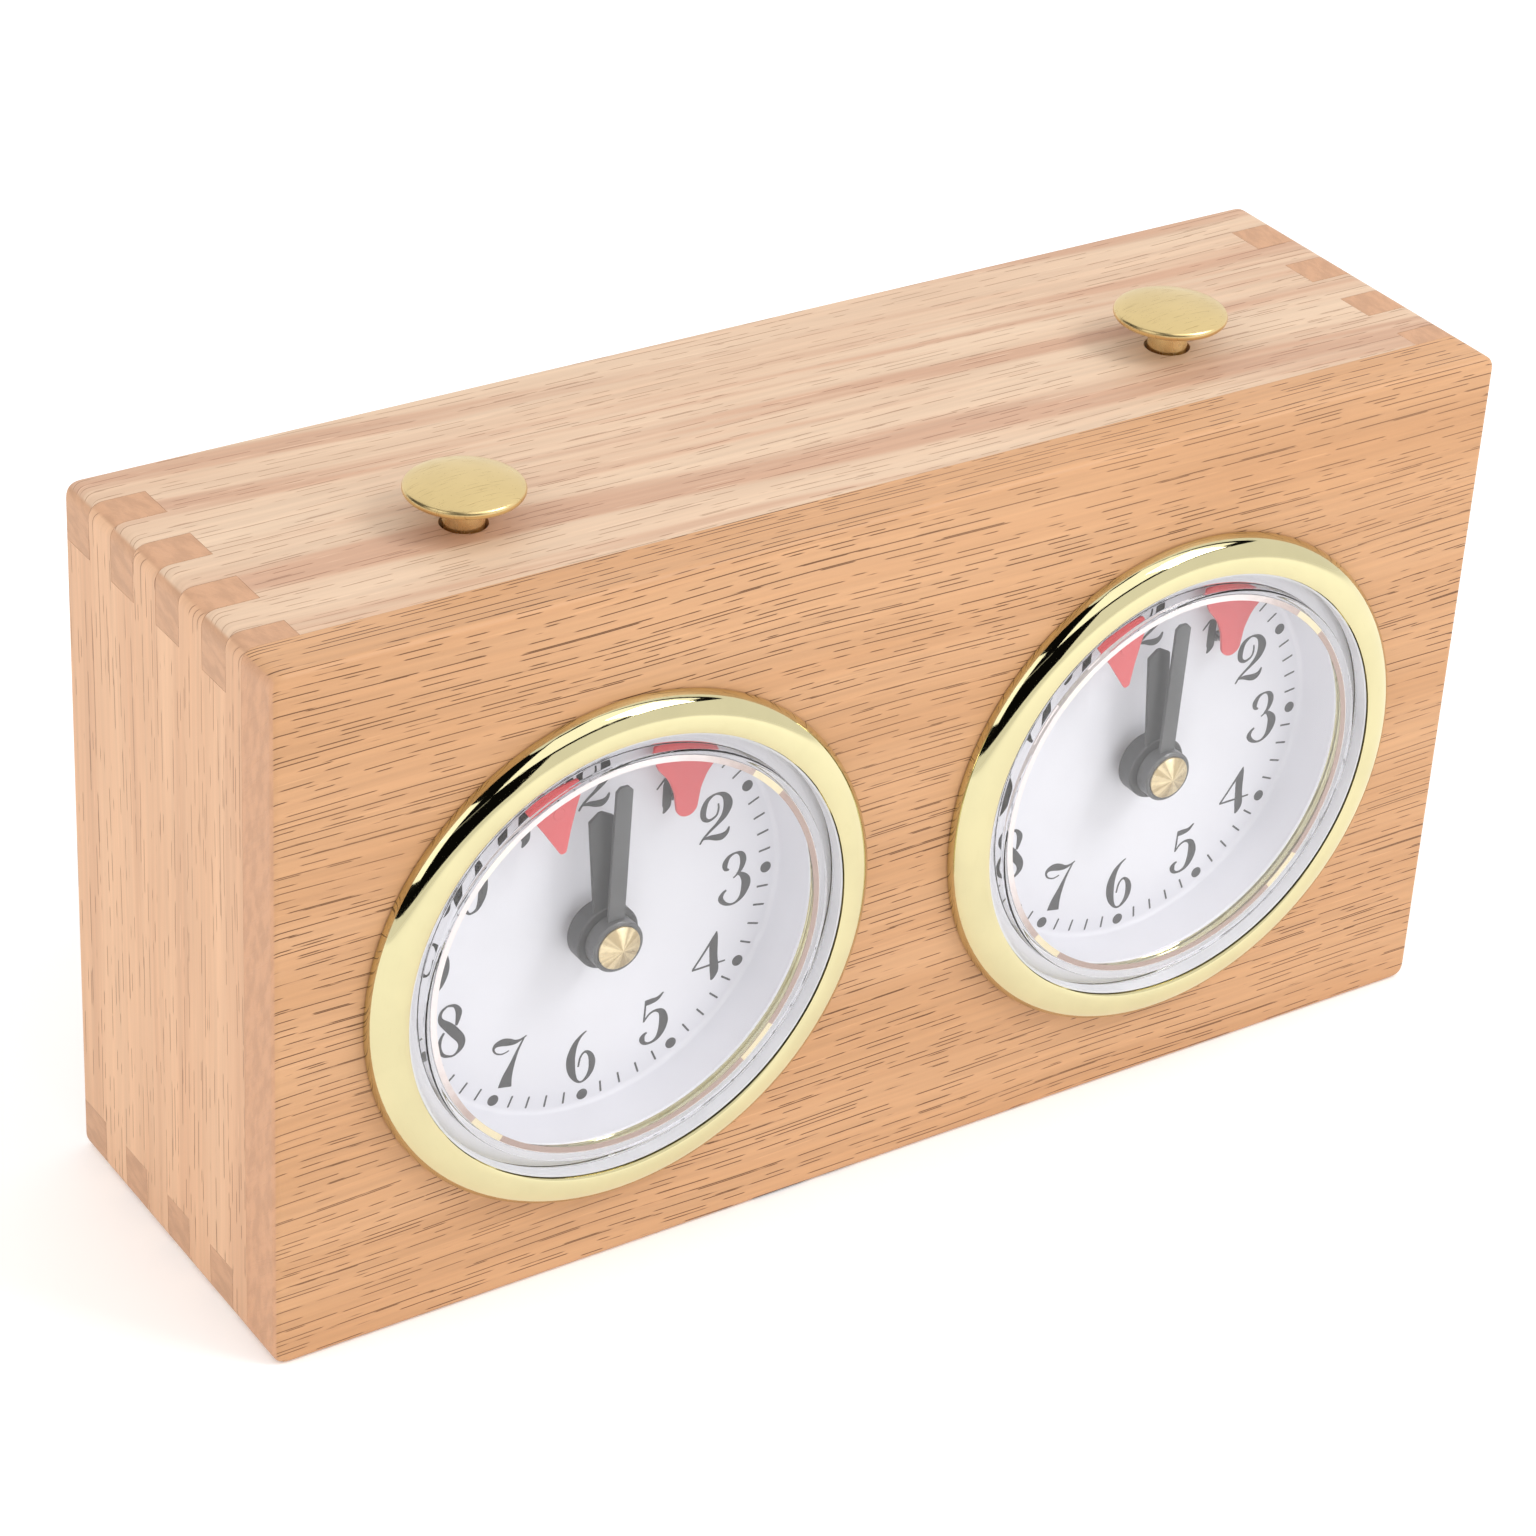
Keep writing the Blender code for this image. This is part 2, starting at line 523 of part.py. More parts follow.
def make_motion_work(brass, steel):
    """Centre arbor, and the wheels that turn the hour hand at a twelfth of its speed."""
    cannon, centre_arbor = circle(1.3), circle(ARBOR)
    sections = [(cannon, 12.0), (gear(CANNON, CANNON_MODULE, 0.0, pinion=True), 13.4)]
    sections += [(circle(0.85), 16.8)]
    windows = [sector(3.2, 7.4, a + 10, a + 80) for a in (0, 90, 180, 270)]
    sections += [(gear(CENTRE_WHEEL, CENTRE_MODULE, 0.0), 17.8, windows)]
    sections += [(centre_arbor, 20.4), (gear(PINION, GREAT_MODULE, 0.0, pinion=True), 23.0), (centre_arbor, 72.5)]
    both_sides("centre_arbor", stack(2.0, sections), brass)

    phase = mate_phase(0.0, CANNON, MINUTE_WHEEL, MINUTE_WHEEL_ANGLE)
    sections = [(gear(PINION, HOUR_MODULE, phase, pinion=True), 12.2)]
    sections += [(gear(MINUTE_WHEEL, CANNON_MODULE, phase), 13.2)]
    both_sides("minute_wheel", stack(10.6, sections, circle(PIVOT + 0.15, 8)), brass, minute_wheel_at())

    phase = mate_phase(phase, PINION, HOUR_WHEEL, MINUTE_WHEEL_ANGLE + 180)
    sections = [(circle(2.15), 10.8), (gear(HOUR_WHEEL, HOUR_MODULE, phase), 11.7)]
    both_sides("hour_wheel", stack(3.9, sections, circle(1.45)), brass)

    knob = [(1.15, 66.4), (5.0, 66.4), (5.0, 71.6), (4.4, 72.4), (1.15, 72.4)]
    both_sides("setting_knob", turned(knob, 16), steel)


def make_train(brass, steel):
    phase = mate_phase(0.0, CENTRE_WHEEL, PINION, THIRD_ANGLE)
    third = [(gear(PINION, CENTRE_MODULE, phase, pinion=True), 16.4, 18.4),
             (gear(TRAIN_WHEEL, THIRD_MODULE, 0.0), 30.0, 31.0)]
    arbor("third_wheel", brass, third_at(), third)
    phase = mate_phase(0.0, TRAIN_WHEEL, PINION, ESCAPE_ANGLE)
    escape = [(escape_outline(), 22.0, 22.8), (gear(PINION, THIRD_MODULE, phase, pinion=True), 29.4, 31.6)]
    arbor("escape_wheel", brass, escape_at(), escape)
    windows = [sector(2.0, BALANCE_RADIUS - 1.3, a + 12, a + 108, 4) for a in (0, 120, 240)]
    arbor("balance_wheel", brass, BALANCE_AT, [(circle(BALANCE_RADIUS, 24), 26.4, 27.6, windows)])

    to_wheel = math.degrees(math.atan2(escape_at()[1] - PALLET_AT[1], escape_at()[0] - PALLET_AT[0]))
    to_balance = math.degrees(math.atan2(BALANCE_AT[1] - PALLET_AT[1], BALANCE_AT[0] - PALLET_AT[0]))
    arms = [(to_wheel - 54, 4.8, 0.4, 0.0), (to_wheel + 54, 4.8, 0.4, 0.0), (to_balance, 11.6, 0.4, 0.0)]
    pivot, shaft = circle(PIVOT, 8), circle(ARBOR, 10)
    sections = [(pivot, 16.0), (shaft, 22.0), (star(1.6, arms), 22.8), (shaft, 33.6), (pivot, 35.2)]
    both_sides("pallet_lever", stack(5.8, sections), steel, PALLET_AT)


def make_barrel(brass, steel):
    """Spring barrel, its mainspring, and the arbor with the winding key."""
    at = (0.0, -barrel_distance())
    low, floor, rim = 21.0, 22.2, 31.0
    phase = mate_phase(0.0, PINION, GREAT_WHEEL, -90)
    drum, wall = 10.7, 0.6
    sections = [(gear(GREAT_WHEEL, GREAT_MODULE, phase), floor), (circle(drum, 24), rim)]
    hollow = stack(floor, [(circle(drum - wall, 24), rim + 1.0)])
    mesh_items = both_sides("spring_barrel", stack(low, sections, circle(2.2)), brass, at)
    for item in mesh_items:
        where = Vector(item.location) / MM
        apply_tool(item, tool(f"{item.name}_hollow", hollow.copy(), where), "DIFFERENCE")
    hollow.free()

    turns, steps, inner, outer, strip = 4, 12, 3.0, drum - wall - 1.0, 0.5
    count = turns * steps
    angles = [360 * i / steps for i in range(count + 1)]
    radii = [inner + (outer - inner) * i / count for i in range(count + 1)]
    spiral = [polar(r + strip, a) for r, a in zip(radii, angles)]
    spiral += [polar(r, a) for r, a in reversed(list(zip(radii, angles)))]
    both_sides("mainspring", stack(floor + 0.4, [(spiral, rim - 0.6)]), steel, at)

    wings = star(2.9, [(0, 8.5, 1.1, 0.0), (180, 8.5, 1.1, 0.0)], 30)
    sections = [(circle(PIVOT, 8), 16.0), (circle(2.0), 33.0), (circle(1.5), 66.4), (circle(2.6), 68.4)]
    sections += [(wings, 76.0)]
    both_sides("winding_key", stack(14.3, sections), brass, at)


def build():
    clear_scene()
    beech = finish("beech", (0.62, 0.38, 0.22), 0.5)
    front_beech = finish("front_beech", (0.66, 0.36, 0.16), 0.45)
    plywood = finish("plywood", (0.60, 0.42, 0.26), 0.6)
    brass = finish("satin_brass", (0.72, 0.55, 0.30), 0.35, 1.0)
    gold = finish("polished_gold", (0.92, 0.80, 0.42), 0.08, 1.0)
    steel = finish("steel", (0.55, 0.55, 0.56), 0.3, 1.0)
    clear = finish("clear_plastic", (0.95, 0.96, 0.97), 0.05, 0.0, 0.35)
    white = finish("dial_white", (0.85, 0.84, 0.88), 0.4)
    black = finish("hand_black", (0.05, 0.05, 0.055), 0.4)
    red = finish("flag_red", (0.75, 0.16, 0.18), 0.4)

    block = rounded_case()
    make_boards(beech, block)
    make_panels(front_beech, plywood, block)
    make_battens(beech, steel)
    make_rocker(brass, steel)
    make_buttons(brass)
    make_dial_fronts(gold, clear, white)
    make_hands(black, brass, red)
    make_plates(brass)
    make_motion_work(brass, steel)
    make_train(brass, steel)
    make_barrel(brass, steel)


build()
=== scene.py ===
"""Looks of the wind-up chess clock: fine surfaces, materials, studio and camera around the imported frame.

Sizes are in millimetres and become metres in the mesh helpers.  A dial's parts are drawn with x and z from
the dial's centre and depth counted backwards from the case's front face, as in a section drawing.
"""
import math

import bmesh
import bpy
from mathutils import Matrix, Vector


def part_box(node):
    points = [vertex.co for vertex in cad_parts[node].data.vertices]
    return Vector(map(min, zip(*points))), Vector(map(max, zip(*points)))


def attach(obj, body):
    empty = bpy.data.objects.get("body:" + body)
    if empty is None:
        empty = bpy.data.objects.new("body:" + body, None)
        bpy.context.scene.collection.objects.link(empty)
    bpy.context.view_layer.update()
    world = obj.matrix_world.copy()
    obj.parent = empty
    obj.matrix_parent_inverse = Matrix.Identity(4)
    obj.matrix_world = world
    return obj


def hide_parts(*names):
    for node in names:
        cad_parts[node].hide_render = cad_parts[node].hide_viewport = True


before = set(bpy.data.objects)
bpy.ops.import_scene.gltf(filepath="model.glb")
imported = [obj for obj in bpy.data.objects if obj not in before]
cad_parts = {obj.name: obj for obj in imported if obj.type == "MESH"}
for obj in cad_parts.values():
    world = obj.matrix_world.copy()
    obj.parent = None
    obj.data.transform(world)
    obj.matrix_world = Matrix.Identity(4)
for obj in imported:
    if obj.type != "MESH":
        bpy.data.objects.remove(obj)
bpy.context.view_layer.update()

MM = 0.001
SIDES = ("left", "right")


def millimetres(point):
    return Vector(point) / MM


def box_mm(node):
    low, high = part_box(node)
    return millimetres(low), millimetres(high)


# ---------------------------------------------------------------- places, read from the frame

PANEL_LOW, PANEL_HIGH = box_mm("front_panel")
FRONT, BACK = PANEL_LOW.y, box_mm("top_board")[1].y
WIDTH, HEIGHT = PANEL_HIGH.x - PANEL_LOW.x, PANEL_HIGH.z
BOARD = PANEL_HIGH.y - FRONT
DIALS = {side: sum(box_mm(f"{side}_bezel"), Vector()) / 2 for side in SIDES}
BUTTONS = {side: sum(box_mm(f"{side}_button"), Vector()) / 2 for side in SIDES}
BEZEL_RADIUS = (box_mm("left_bezel")[1].x - box_mm("left_bezel")[0].x) / 2
LENS_RADIUS = (box_mm("left_lens")[1].x - box_mm("left_lens")[0].x) / 2

# Case
CORNER_RADIUS, EDGE_RADIUS = 2.6, 1.1
FIRST_FINGER, FINGER, FINGER_COUNT = 4.7, 7.1, 7
SEAM = 0.05
TRIM = 1.0                        # boards are drawn this much too large and trimmed to the rounded case
OPENING_RADIUS = 38.8
BUTTON_HOLE_RADIUS = 3.65
KNOB_HOLE_RADIUS, KEY_HOLE_RADIUS = 1.7, 2.4
BUTTON_RISE = 7.5                 # from the top board to the crown of a button at rest
STEM_RADIUS, STEM_END, STEM_FILLET = 3.15, 2.6, 0.9

# Dials
FINE = 128                       # sides of a dial-sized round
SMALL = 64                       # sides of a small round
BEZEL_CREST_RADIUS, BEZEL_INNER_RADIUS, BEZEL_DROP = 38.7, 37.5, 0.32
LENS_OUTER, LENS_FRONT, LENS_WALL, FLANGE_FRONT, FLANGE_BACK = 34.8, -3.2, 1.1, -0.9, 0.8
FLANGE_RADIUS = 37.15
BEZEL_SLEEVE_INNER, BEZEL_SLEEVE_OUTER, BEZEL_SLEEVE_END = 37.8, 38.5, 7.4
LINER_INNER, LINER_OUTER = 37.1, 37.4
DIAL_FLOOR, DIAL_BACK, DIAL_RADIUS = 9.2, 10.0, 33.4
DIAL_BORE, DIAL_WALL, DIAL_CORNER = 2.6, 0.8, 0.95
DIAL_RIM_FRONT, DIAL_RIM_BACK = 1.1, 1.9
DRILL_RADIUS = 1.0
TAB_CLOCK_ANGLES, TAB_HALF_ANGLE = (44, 134, -134, -44), 6
SEAT_INNER, SEAT_OUTER, SEAT_FRONT, SEAT_BACK = 32.5, 33.5, -2.05, -1.95
PRINT_HEIGHT = 0.03
PRINT_SHIFT = (-0.3, 0.0)
PRINT_SPREAD = 0.04               # by which the ink runs outside a stroke
DOT_CIRCLE, DOT_RADIUS = 31.5, 0.95
TICK_INNER, TICK_OUTER, TICK_HALF_WIDTH = 30.25, 32.3, 0.16
NUMERAL_CENTRES = {1: (12.4, 19.6), 2: (21.7, 11.7), 3: (25.6, -0.3), 4: (21.6, -13.5),
                   5: (12.1, -21.7), 6: (-0.7, -24.6), 7: (-13.5, -21.1), 8: (-23.5, -12.1),
                   9: (-26.6, -0.6), 10: (-22.2, 12.2), 11: (-13.6, 20.9), 12: (-1.6, 24.0)}
MINUTE_HAND_ANGLE, HOUR_HAND_ANGLE = 1.5, -4.8
MINUTE_HUB_RADIUS, MINUTE_HOLE_RADIUS = 4.3, 1.4
HOUR_HUB_RADIUS, HOUR_HOLE_RADIUS = 5.3, 2.3
CAP_RADIUS = 3.6
FLAG_AT, INDICATOR_AT = (-9.9, 25.0), (14.0, 18.0)


# ---------------------------------------------------------------- node trees

class Tree:
    """Small wrapper that adds and links the nodes of one material."""

    def __init__(self, name):
        self.material = bpy.data.materials.new(name)
        self.material.use_nodes = True
        self.nodes = self.material.node_tree.nodes
        self.links = self.material.node_tree.links
        self.shader = self.nodes["Principled BSDF"]
        self.coordinates = self.nodes.new("ShaderNodeTexCoord")

    def add(self, kind, inputs=None, **settings):
        node = self.nodes.new("ShaderNode" + kind)
        for key, value in settings.items():
            setattr(node, key, value)
        for key, value in (inputs or {}).items():
            self.feed(node.inputs[key], value)
        return node

    def feed(self, socket, value):
        if isinstance(value, bpy.types.NodeSocket):
            self.links.new(value, socket)
        elif isinstance(value, tuple) and len(value) == 3 and socket.type == "RGBA":
            socket.default_value = (*value, 1.0)
        else:
            socket.default_value = value

    def set(self, **inputs):
        for key, value in inputs.items():
            self.feed(self.shader.inputs[key.replace("_", " ")], value)

    def math(self, operation, a, b=0.0, clamp=False):
        return self.add("Math", {0: a, 1: b}, operation=operation, use_clamp=clamp).outputs[0]

    def axes(self, order="XYZ"):
        """Object coordinates in millimetres, with the axes in the given order."""
        scaled = self.add("VectorMath", {0: self.coordinates.outputs["Object"], "Scale": 1 / MM},
                          operation="SCALE").outputs[0]
        parts = self.add("SeparateXYZ", {0: scaled})
        chosen = {i: parts.outputs["XYZ".index(c)] for i, c in enumerate(order)}
        return self.add("CombineXYZ", chosen).outputs[0]

    def stretch(self, vector, scale, offset=(0.0, 0.0, 0.0)):
        scaled = self.add("VectorMath", {0: vector, 1: scale}, operation="MULTIPLY").outputs[0]
        return self.add("VectorMath", {0: scaled, 1: offset}, operation="ADD").outputs[0]

    def noise(self, vector, scale=1.0, detail=2.0, roughness=0.5, output=0):
        inputs = {"Vector": vector, "Scale": scale, "Detail": detail, "Roughness": roughness}
        return self.add("TexNoise", inputs).outputs[output]

    def ramp(self, value, *stops):
        """Grey value between (position, grey) stops."""
        node = self.add("ValToRGB", {0: value})
        elements = node.color_ramp.elements
        while len(elements) < len(stops):
            elements.new(0.5)
        for element, (position, grey) in zip(elements, stops):
            element.position = position
            element.color = (grey, grey, grey, 1.0)
        return node.outputs[0]

    def step(self, value, low, high, out_low=0.0, out_high=1.0):
        """Smooth step of value from low to high."""
        return self.add("MapRange", {0: value, 1: low, 2: high, 3: out_low, 4: out_high},
                        interpolation_type="SMOOTHSTEP").outputs[0]

    def mix(self, factor, a, b, blend="MIX"):
        node = self.add("Mix", {0: factor}, data_type="RGBA", blend_type=blend)
        self.feed(node.inputs[6], a)
        self.feed(node.inputs[7], b)
        return node.outputs[2]

    def bump(self, height, strength, distance):
        inputs = {"Height": height, "Strength": strength, "Distance": distance * MM}
        return self.add("Bump", inputs).outputs[0]


def grain_lines(tree, along, across, pitch, half_width, run, low, high, seed):
    """Short dark lines in rows: 1 on a line, 0 beside it.  run is the noise frequency along the grain."""
    rows = tree.math("DIVIDE", across, pitch)
    row = tree.math("FLOOR", rows)
    draw = tree.add("TexWhiteNoise", {"W": tree.math("ADD", row, seed)}, noise_dimensions="1D")
    chance = draw.outputs["Value"]
    centre = tree.math("ADD", tree.math("MULTIPLY", chance, 0.5), 0.25)
    off = tree.math("ABSOLUTE", tree.math("SUBTRACT", tree.math("SUBTRACT", rows, row), centre))
    at = tree.add("CombineXYZ", {0: tree.math("MULTIPLY", along, run), 1: tree.math("MULTIPLY", row, 7.31),
                                 2: seed}).outputs[0]
    strength = tree.step(tree.noise(at, detail=1.0), low, high)
    share = tree.math("ADD", tree.math("MULTIPLY", strength, 0.7), 0.3)
    width = tree.math("MULTIPLY", share, half_width / pitch)
    edge = tree.math("SUBTRACT", 1.0, tree.math("DIVIDE", off, width), clamp=True)
    return tree.math("MULTIPLY", tree.step(edge, 0.0, 0.45), strength)


def wood(name, order, light, deep, band, mark, end, band_share, mark_share, roughness, tilt=1.0, drift=0.0,
         sparse=0.0):
    """Planed beech.

    order lists the axes along the grain, across it in the face, and into the board.  tilt leans the dark rays
    into the board, drift lets the growth bands run off at an angle, and sparse thins out the dark lines.
    """
    tree = Tree(name)
    place = tree.axes(order)
    waver = tree.noise(tree.stretch(place, (0.012, 0.03, 0.03)), detail=1.0, output=1)
    shift = tree.add("VectorMath", {0: waver, 1: (0.0, 4.0, 0.0)}, operation="MULTIPLY").outputs[0]
    place = tree.add("VectorMath", {0: place, 1: shift}, operation="ADD").outputs[0]
    parts = tree.add("SeparateXYZ", {0: place}).outputs
    across = tree.math("ADD", parts[1], tree.math("MULTIPLY", parts[2], tilt))
    deep_in = tree.math("MULTIPLY", parts[2], 0.3)
    place = tree.add("CombineXYZ", {0: parts[0], 1: across, 2: deep_in}).outputs[0]

    tone = tree.noise(tree.stretch(place, (0.01, 0.07, 0.02)), detail=2.0)
    colour = tree.mix(tree.step(tone, 0.3, 0.7), light, deep)
    drifted = tree.math("ADD", across, tree.math("MULTIPLY", parts[0], drift))
    growth_at = tree.add("CombineXYZ", {0: parts[0], 1: drifted}).outputs[0]
    growth_at = tree.stretch(growth_at, (0.004, 0.13, 0.0), (4.0, 9.0, 2.0))
    growth = tree.noise(growth_at, detail=3.0, roughness=0.55)
    colour = tree.mix(tree.math("MULTIPLY", tree.step(growth, 0.47, 0.62), band_share), colour, band)
    fibre = tree.noise(tree.stretch(place, (0.02, 0.8, 0.4)), detail=4.0, roughness=0.6)
    colour = tree.mix(1.0, colour, tree.ramp(fibre, (0.34, 0.90), (0.66, 1.03)), "MULTIPLY")

    clouds = tree.noise(tree.stretch(place, (0.015, 0.04, 0.02), (7.0, 1.0, 3.0)), detail=1.0)
    cluster = tree.step(clouds, 0.3, 0.6, 0.7, 1.0)
    dark = tree.math("MAXIMUM",
                     grain_lines(tree, parts[0], across, 1.3, 0.11, 0.14, 0.47 + sparse, 0.54 + sparse, 3.7),
                     grain_lines(tree, parts[0], across, 2.1, 0.12, 0.11, 0.48 + sparse, 0.55 + sparse, 41.3))
    dark = tree.math("MULTIPLY", dark, cluster)
    colour = tree.mix(tree.math("MULTIPLY", dark, mark_share), colour, mark)
    pale = grain_lines(tree, parts[0], across, 2.1, 0.16, 0.10, 0.58, 0.72, 77.7)
    colour = tree.mix(tree.math("MULTIPLY", pale, 0.3), colour, tuple(min(1.0, 1.25 * c) for c in light))

    facing = tree.add("SeparateXYZ", {0: tree.coordinates.outputs["Normal"]}).outputs["XYZ".index(order[0])]
    cut = tree.step(tree.math("ABSOLUTE", facing), 0.6, 0.85)
    rings = tree.noise(tree.stretch(place, (0.1, 0.25, 1.8)), detail=3.0, roughness=0.6)
    pores = tree.add("TexVoronoi", {"Vector": tree.stretch(place, (0.15, 3.2, 2.2))}).outputs["Distance"]
    grain = tree.mix(tree.step(rings, 0.35, 0.65), end, tuple(0.86 * c for c in end))
    grain = tree.mix(tree.step(pores, 0.3, 0.1, 0.0, 0.35), grain, tuple(0.5 * c for c in end))
    colour = tree.mix(cut, colour, grain)

    height = tree.math("SUBTRACT", tree.math("MULTIPLY", fibre, 0.35), dark)
    tree.set(Base_Color=colour, Specular_IOR_Level=0.35,
             Roughness=tree.math("ADD", tree.math("MULTIPLY", fibre, 0.16), roughness),
             Normal=tree.bump(height, 0.35, 0.08))
    return tree.material


def metal(name, colour, dark, roughness, grain=0.0, scratches=0.0, ripple=0.0, order="XYZ"):
    """Metal with tarnish variation, fine brushing along the first axis, scratches and a slight waviness."""
    tree = Tree(name)
    place = tree.axes(order)
    cloud = tree.noise(place, scale=0.12, detail=3.0)
    fine = tree.noise(tree.stretch(place, (0.6, 9.0, 9.0)), detail=3.0, roughness=0.7)
    pits = tree.add("TexVoronoi", {"Vector": place, "Scale": 1.3}).outputs["Distance"]
    pitted = tree.step(pits, 0.14, 0.05)
    lines = tree.noise(tree.stretch(place, (0.25, 7.0, 0.25), (3.0, 1.0, 8.0)), detail=2.0)
    scored = tree.step(lines, 0.62, 0.7)
    worn = tree.math("MAXIMUM", tree.math("MULTIPLY", pitted, 0.8), scored)
    base = tree.mix(tree.step(cloud, 0.3, 0.7, 0.0, 0.5), colour, tuple(0.9 * c for c in colour))
    base = tree.mix(tree.math("MULTIPLY", worn, scratches), base, dark)
    rough = tree.math("ADD", tree.math("MULTIPLY", cloud, 0.5 * roughness), 0.75 * roughness)
    rough = tree.math("ADD", rough, tree.math("MULTIPLY", worn, 0.2 * scratches))
    height = tree.math("MULTIPLY", fine, grain)
    height = tree.math("SUBTRACT", height, tree.math("MULTIPLY", worn, scratches))
    waves = tree.noise(place, scale=0.18, detail=1.0)
    height = tree.math("ADD", height, tree.math("MULTIPLY", waves, ripple))
    tree.set(Base_Color=base, Metallic=1.0, Roughness=rough, Normal=tree.bump(height, 1.0, 0.02))
    return tree.material


def turned_metal(name, colour, dark, roughness, pitch):
    """Faced in a lathe: fine grooves around each dial's axis, and light and dark fan sectors around the axis
    as painted highlight and shade.
    """
    tree = Tree(name)
    parts = tree.add("SeparateXYZ", {0: tree.axes()}).outputs
    x = tree.math("SUBTRACT", tree.math("ABSOLUTE", parts[0]), abs(DIALS["left"].x))
    z = tree.math("SUBTRACT", parts[2], DIALS["left"].z)
    at = tree.add("CombineXYZ", {0: x, 1: z}).outputs[0]
    radius = tree.add("VectorMath", {0: at}, operation="LENGTH").outputs["Value"]
    groove = tree.math("SINE", tree.math("MULTIPLY", radius, 2 * math.pi / pitch))
    wear = tree.noise(tree.axes(), scale=0.9, detail=4.0, roughness=0.7)
    base = tree.mix(tree.step(wear, 0.45, 0.75, 0.0, 0.5), colour, dark)
    # painted highlight and shade: fan sectors around the axis darkened towards the dark colour
    angle = tree.math("ARCTAN2", z, x)
    painted_sheen_fans = tree.noise(tree.add("CombineXYZ", {0: tree.math("MULTIPLY", angle, 1.4)}).outputs[0], detail=2.0)
    base = tree.mix(tree.step(painted_sheen_fans, 0.42, 0.58, 0.0, 0.75), base, dark)
    rough = tree.math("ADD", tree.math("MULTIPLY", wear, 0.2), roughness)
    tree.set(Base_Color=base, Metallic=1.0, Roughness=rough, Normal=tree.bump(groove, 0.5, 0.02))
    return tree.material


def painted(name, colour, roughness, mottle=0.06, speck=0.0, orange_peel=0.3):
    """Painted or moulded surface with slight mottling, fine grain and a few specks."""
    tree = Tree(name)
    place = tree.axes()
    cloud = tree.noise(place, scale=0.08, detail=3.0)
    grain = tree.noise(place, scale=4.0, detail=3.0, roughness=0.6)
    specks = tree.add("TexVoronoi", {"Vector": place, "Scale": 0.55}).outputs["Distance"]
    dust = tree.step(specks, 0.07, 0.03)
    base = tree.mix(tree.step(cloud, 0.3, 0.7), colour, tuple(c * (1 - mottle) for c in colour))
    base = tree.mix(tree.math("MULTIPLY", dust, speck), base, tuple(min(1.0, 2.4 * c) for c in colour))
    rough = tree.math("ADD", tree.math("MULTIPLY", grain, 0.18), roughness - 0.09)
    tree.set(Base_Color=base, Roughness=rough, Normal=tree.bump(grain, orange_peel, 0.02))
    return tree.material


def seat_paint(name, colour, pale):
    """Sealing ring whose colour fades to the pale colour towards the upper left of its dial: painted light
    there, painted shade towards the lower right.
    """
    tree = Tree(name)
    parts = tree.add("SeparateXYZ", {0: tree.coordinates.outputs["Generated"]}).outputs
    rise = tree.math("SUBTRACT", parts[2], parts[0])
    cloud = tree.noise(tree.axes(), scale=0.5, detail=3.0)
    # painted light and shade: paler towards the upper left, darker towards the lower right
    painted_light_fade = tree.step(tree.math("ADD", rise, tree.math("MULTIPLY", cloud, 0.2)), 0.1, 0.55)
    base = tree.mix(painted_light_fade, colour, pale)
    tree.set(Base_Color=base, Roughness=tree.math("ADD", tree.math("MULTIPLY", cloud, 0.3), 0.5),
             Normal=tree.bump(cloud, 0.3, 0.05))
    return tree.material


def clear_plastic(name):
    tree = Tree(name)
    place = tree.axes()
    smear = tree.noise(tree.stretch(place, (0.05, 0.2, 0.09)), detail=2.0)
    tree.set(Base_Color=(0.985, 0.99, 0.99), Transmission_Weight=1.0, IOR=1.46,
             Roughness=tree.step(smear, 0.45, 0.8, 0.0, 0.03))
    return tree.material


# ---------------------------------------------------------------- mesh helpers

def polar(radius, degrees, centre=(0.0, 0.0)):
    angle = math.radians(degrees)
    return (centre[0] + radius * math.cos(angle), centre[1] + radius * math.sin(angle))


def arc(radius, start, end, steps, centre=(0.0, 0.0)):
    return [polar(radius, start + (end - start) * i / steps, centre) for i in range(steps + 1)]


def circle(radius, sides=SMALL, centre=(0.0, 0.0)):
    return arc(radius, 0, 360, sides, centre)[:-1]


def rectangle(x0, x1, z0, z1):
    return [(x0, z0), (x1, z0), (x1, z1), (x0, z1)]


def fillet(points, radius, steps=4, closed=True):
    """The outline with its corners rounded; radius is one number or one for each point."""
    radii = radius if isinstance(radius, (list, tuple)) else [radius] * len(points)
    made = []
    for i, point in enumerate(points):
        here = Vector(point)
        before, after = Vector(points[i - 1]) - here, Vector(points[(i + 1) % len(points)]) - here
        if not radii[i] or (not closed and i in (0, len(points) - 1)):
            made.append(tuple(here))
            continue
        half = before.angle(after) / 2
        cut = min(radii[i] / math.tan(half), 0.48 * before.length, 0.48 * after.length)
        start, end = here + before.normalized() * cut, here + after.normalized() * cut
        for k in range(steps + 1):
            t = k / steps
            made.append(tuple(start * (1 - t) ** 2 + here * 2 * t * (1 - t) + end * t ** 2))
    return made


def add_loop(bm, outline, y):
    return [bm.verts.new((x, y, z)) for x, z in outline]


def add_wall(bm, near, far):
    for i, j in zip(range(len(near)), [*range(1, len(near)), 0]):
        bm.faces.new((near[i], near[j], far[j], far[i]))


def add_cap(bm, outer, holes=()):
    if not holes:
        bm.faces.new(outer)
        return
    edges = [bm.edges.get(pair) or bm.edges.new(pair)
             for loop in (outer, *holes) for pair in zip(loop, loop[1:] + loop[:1])]
    bmesh.ops.triangle_fill(bm, edges=edges, use_beauty=True)


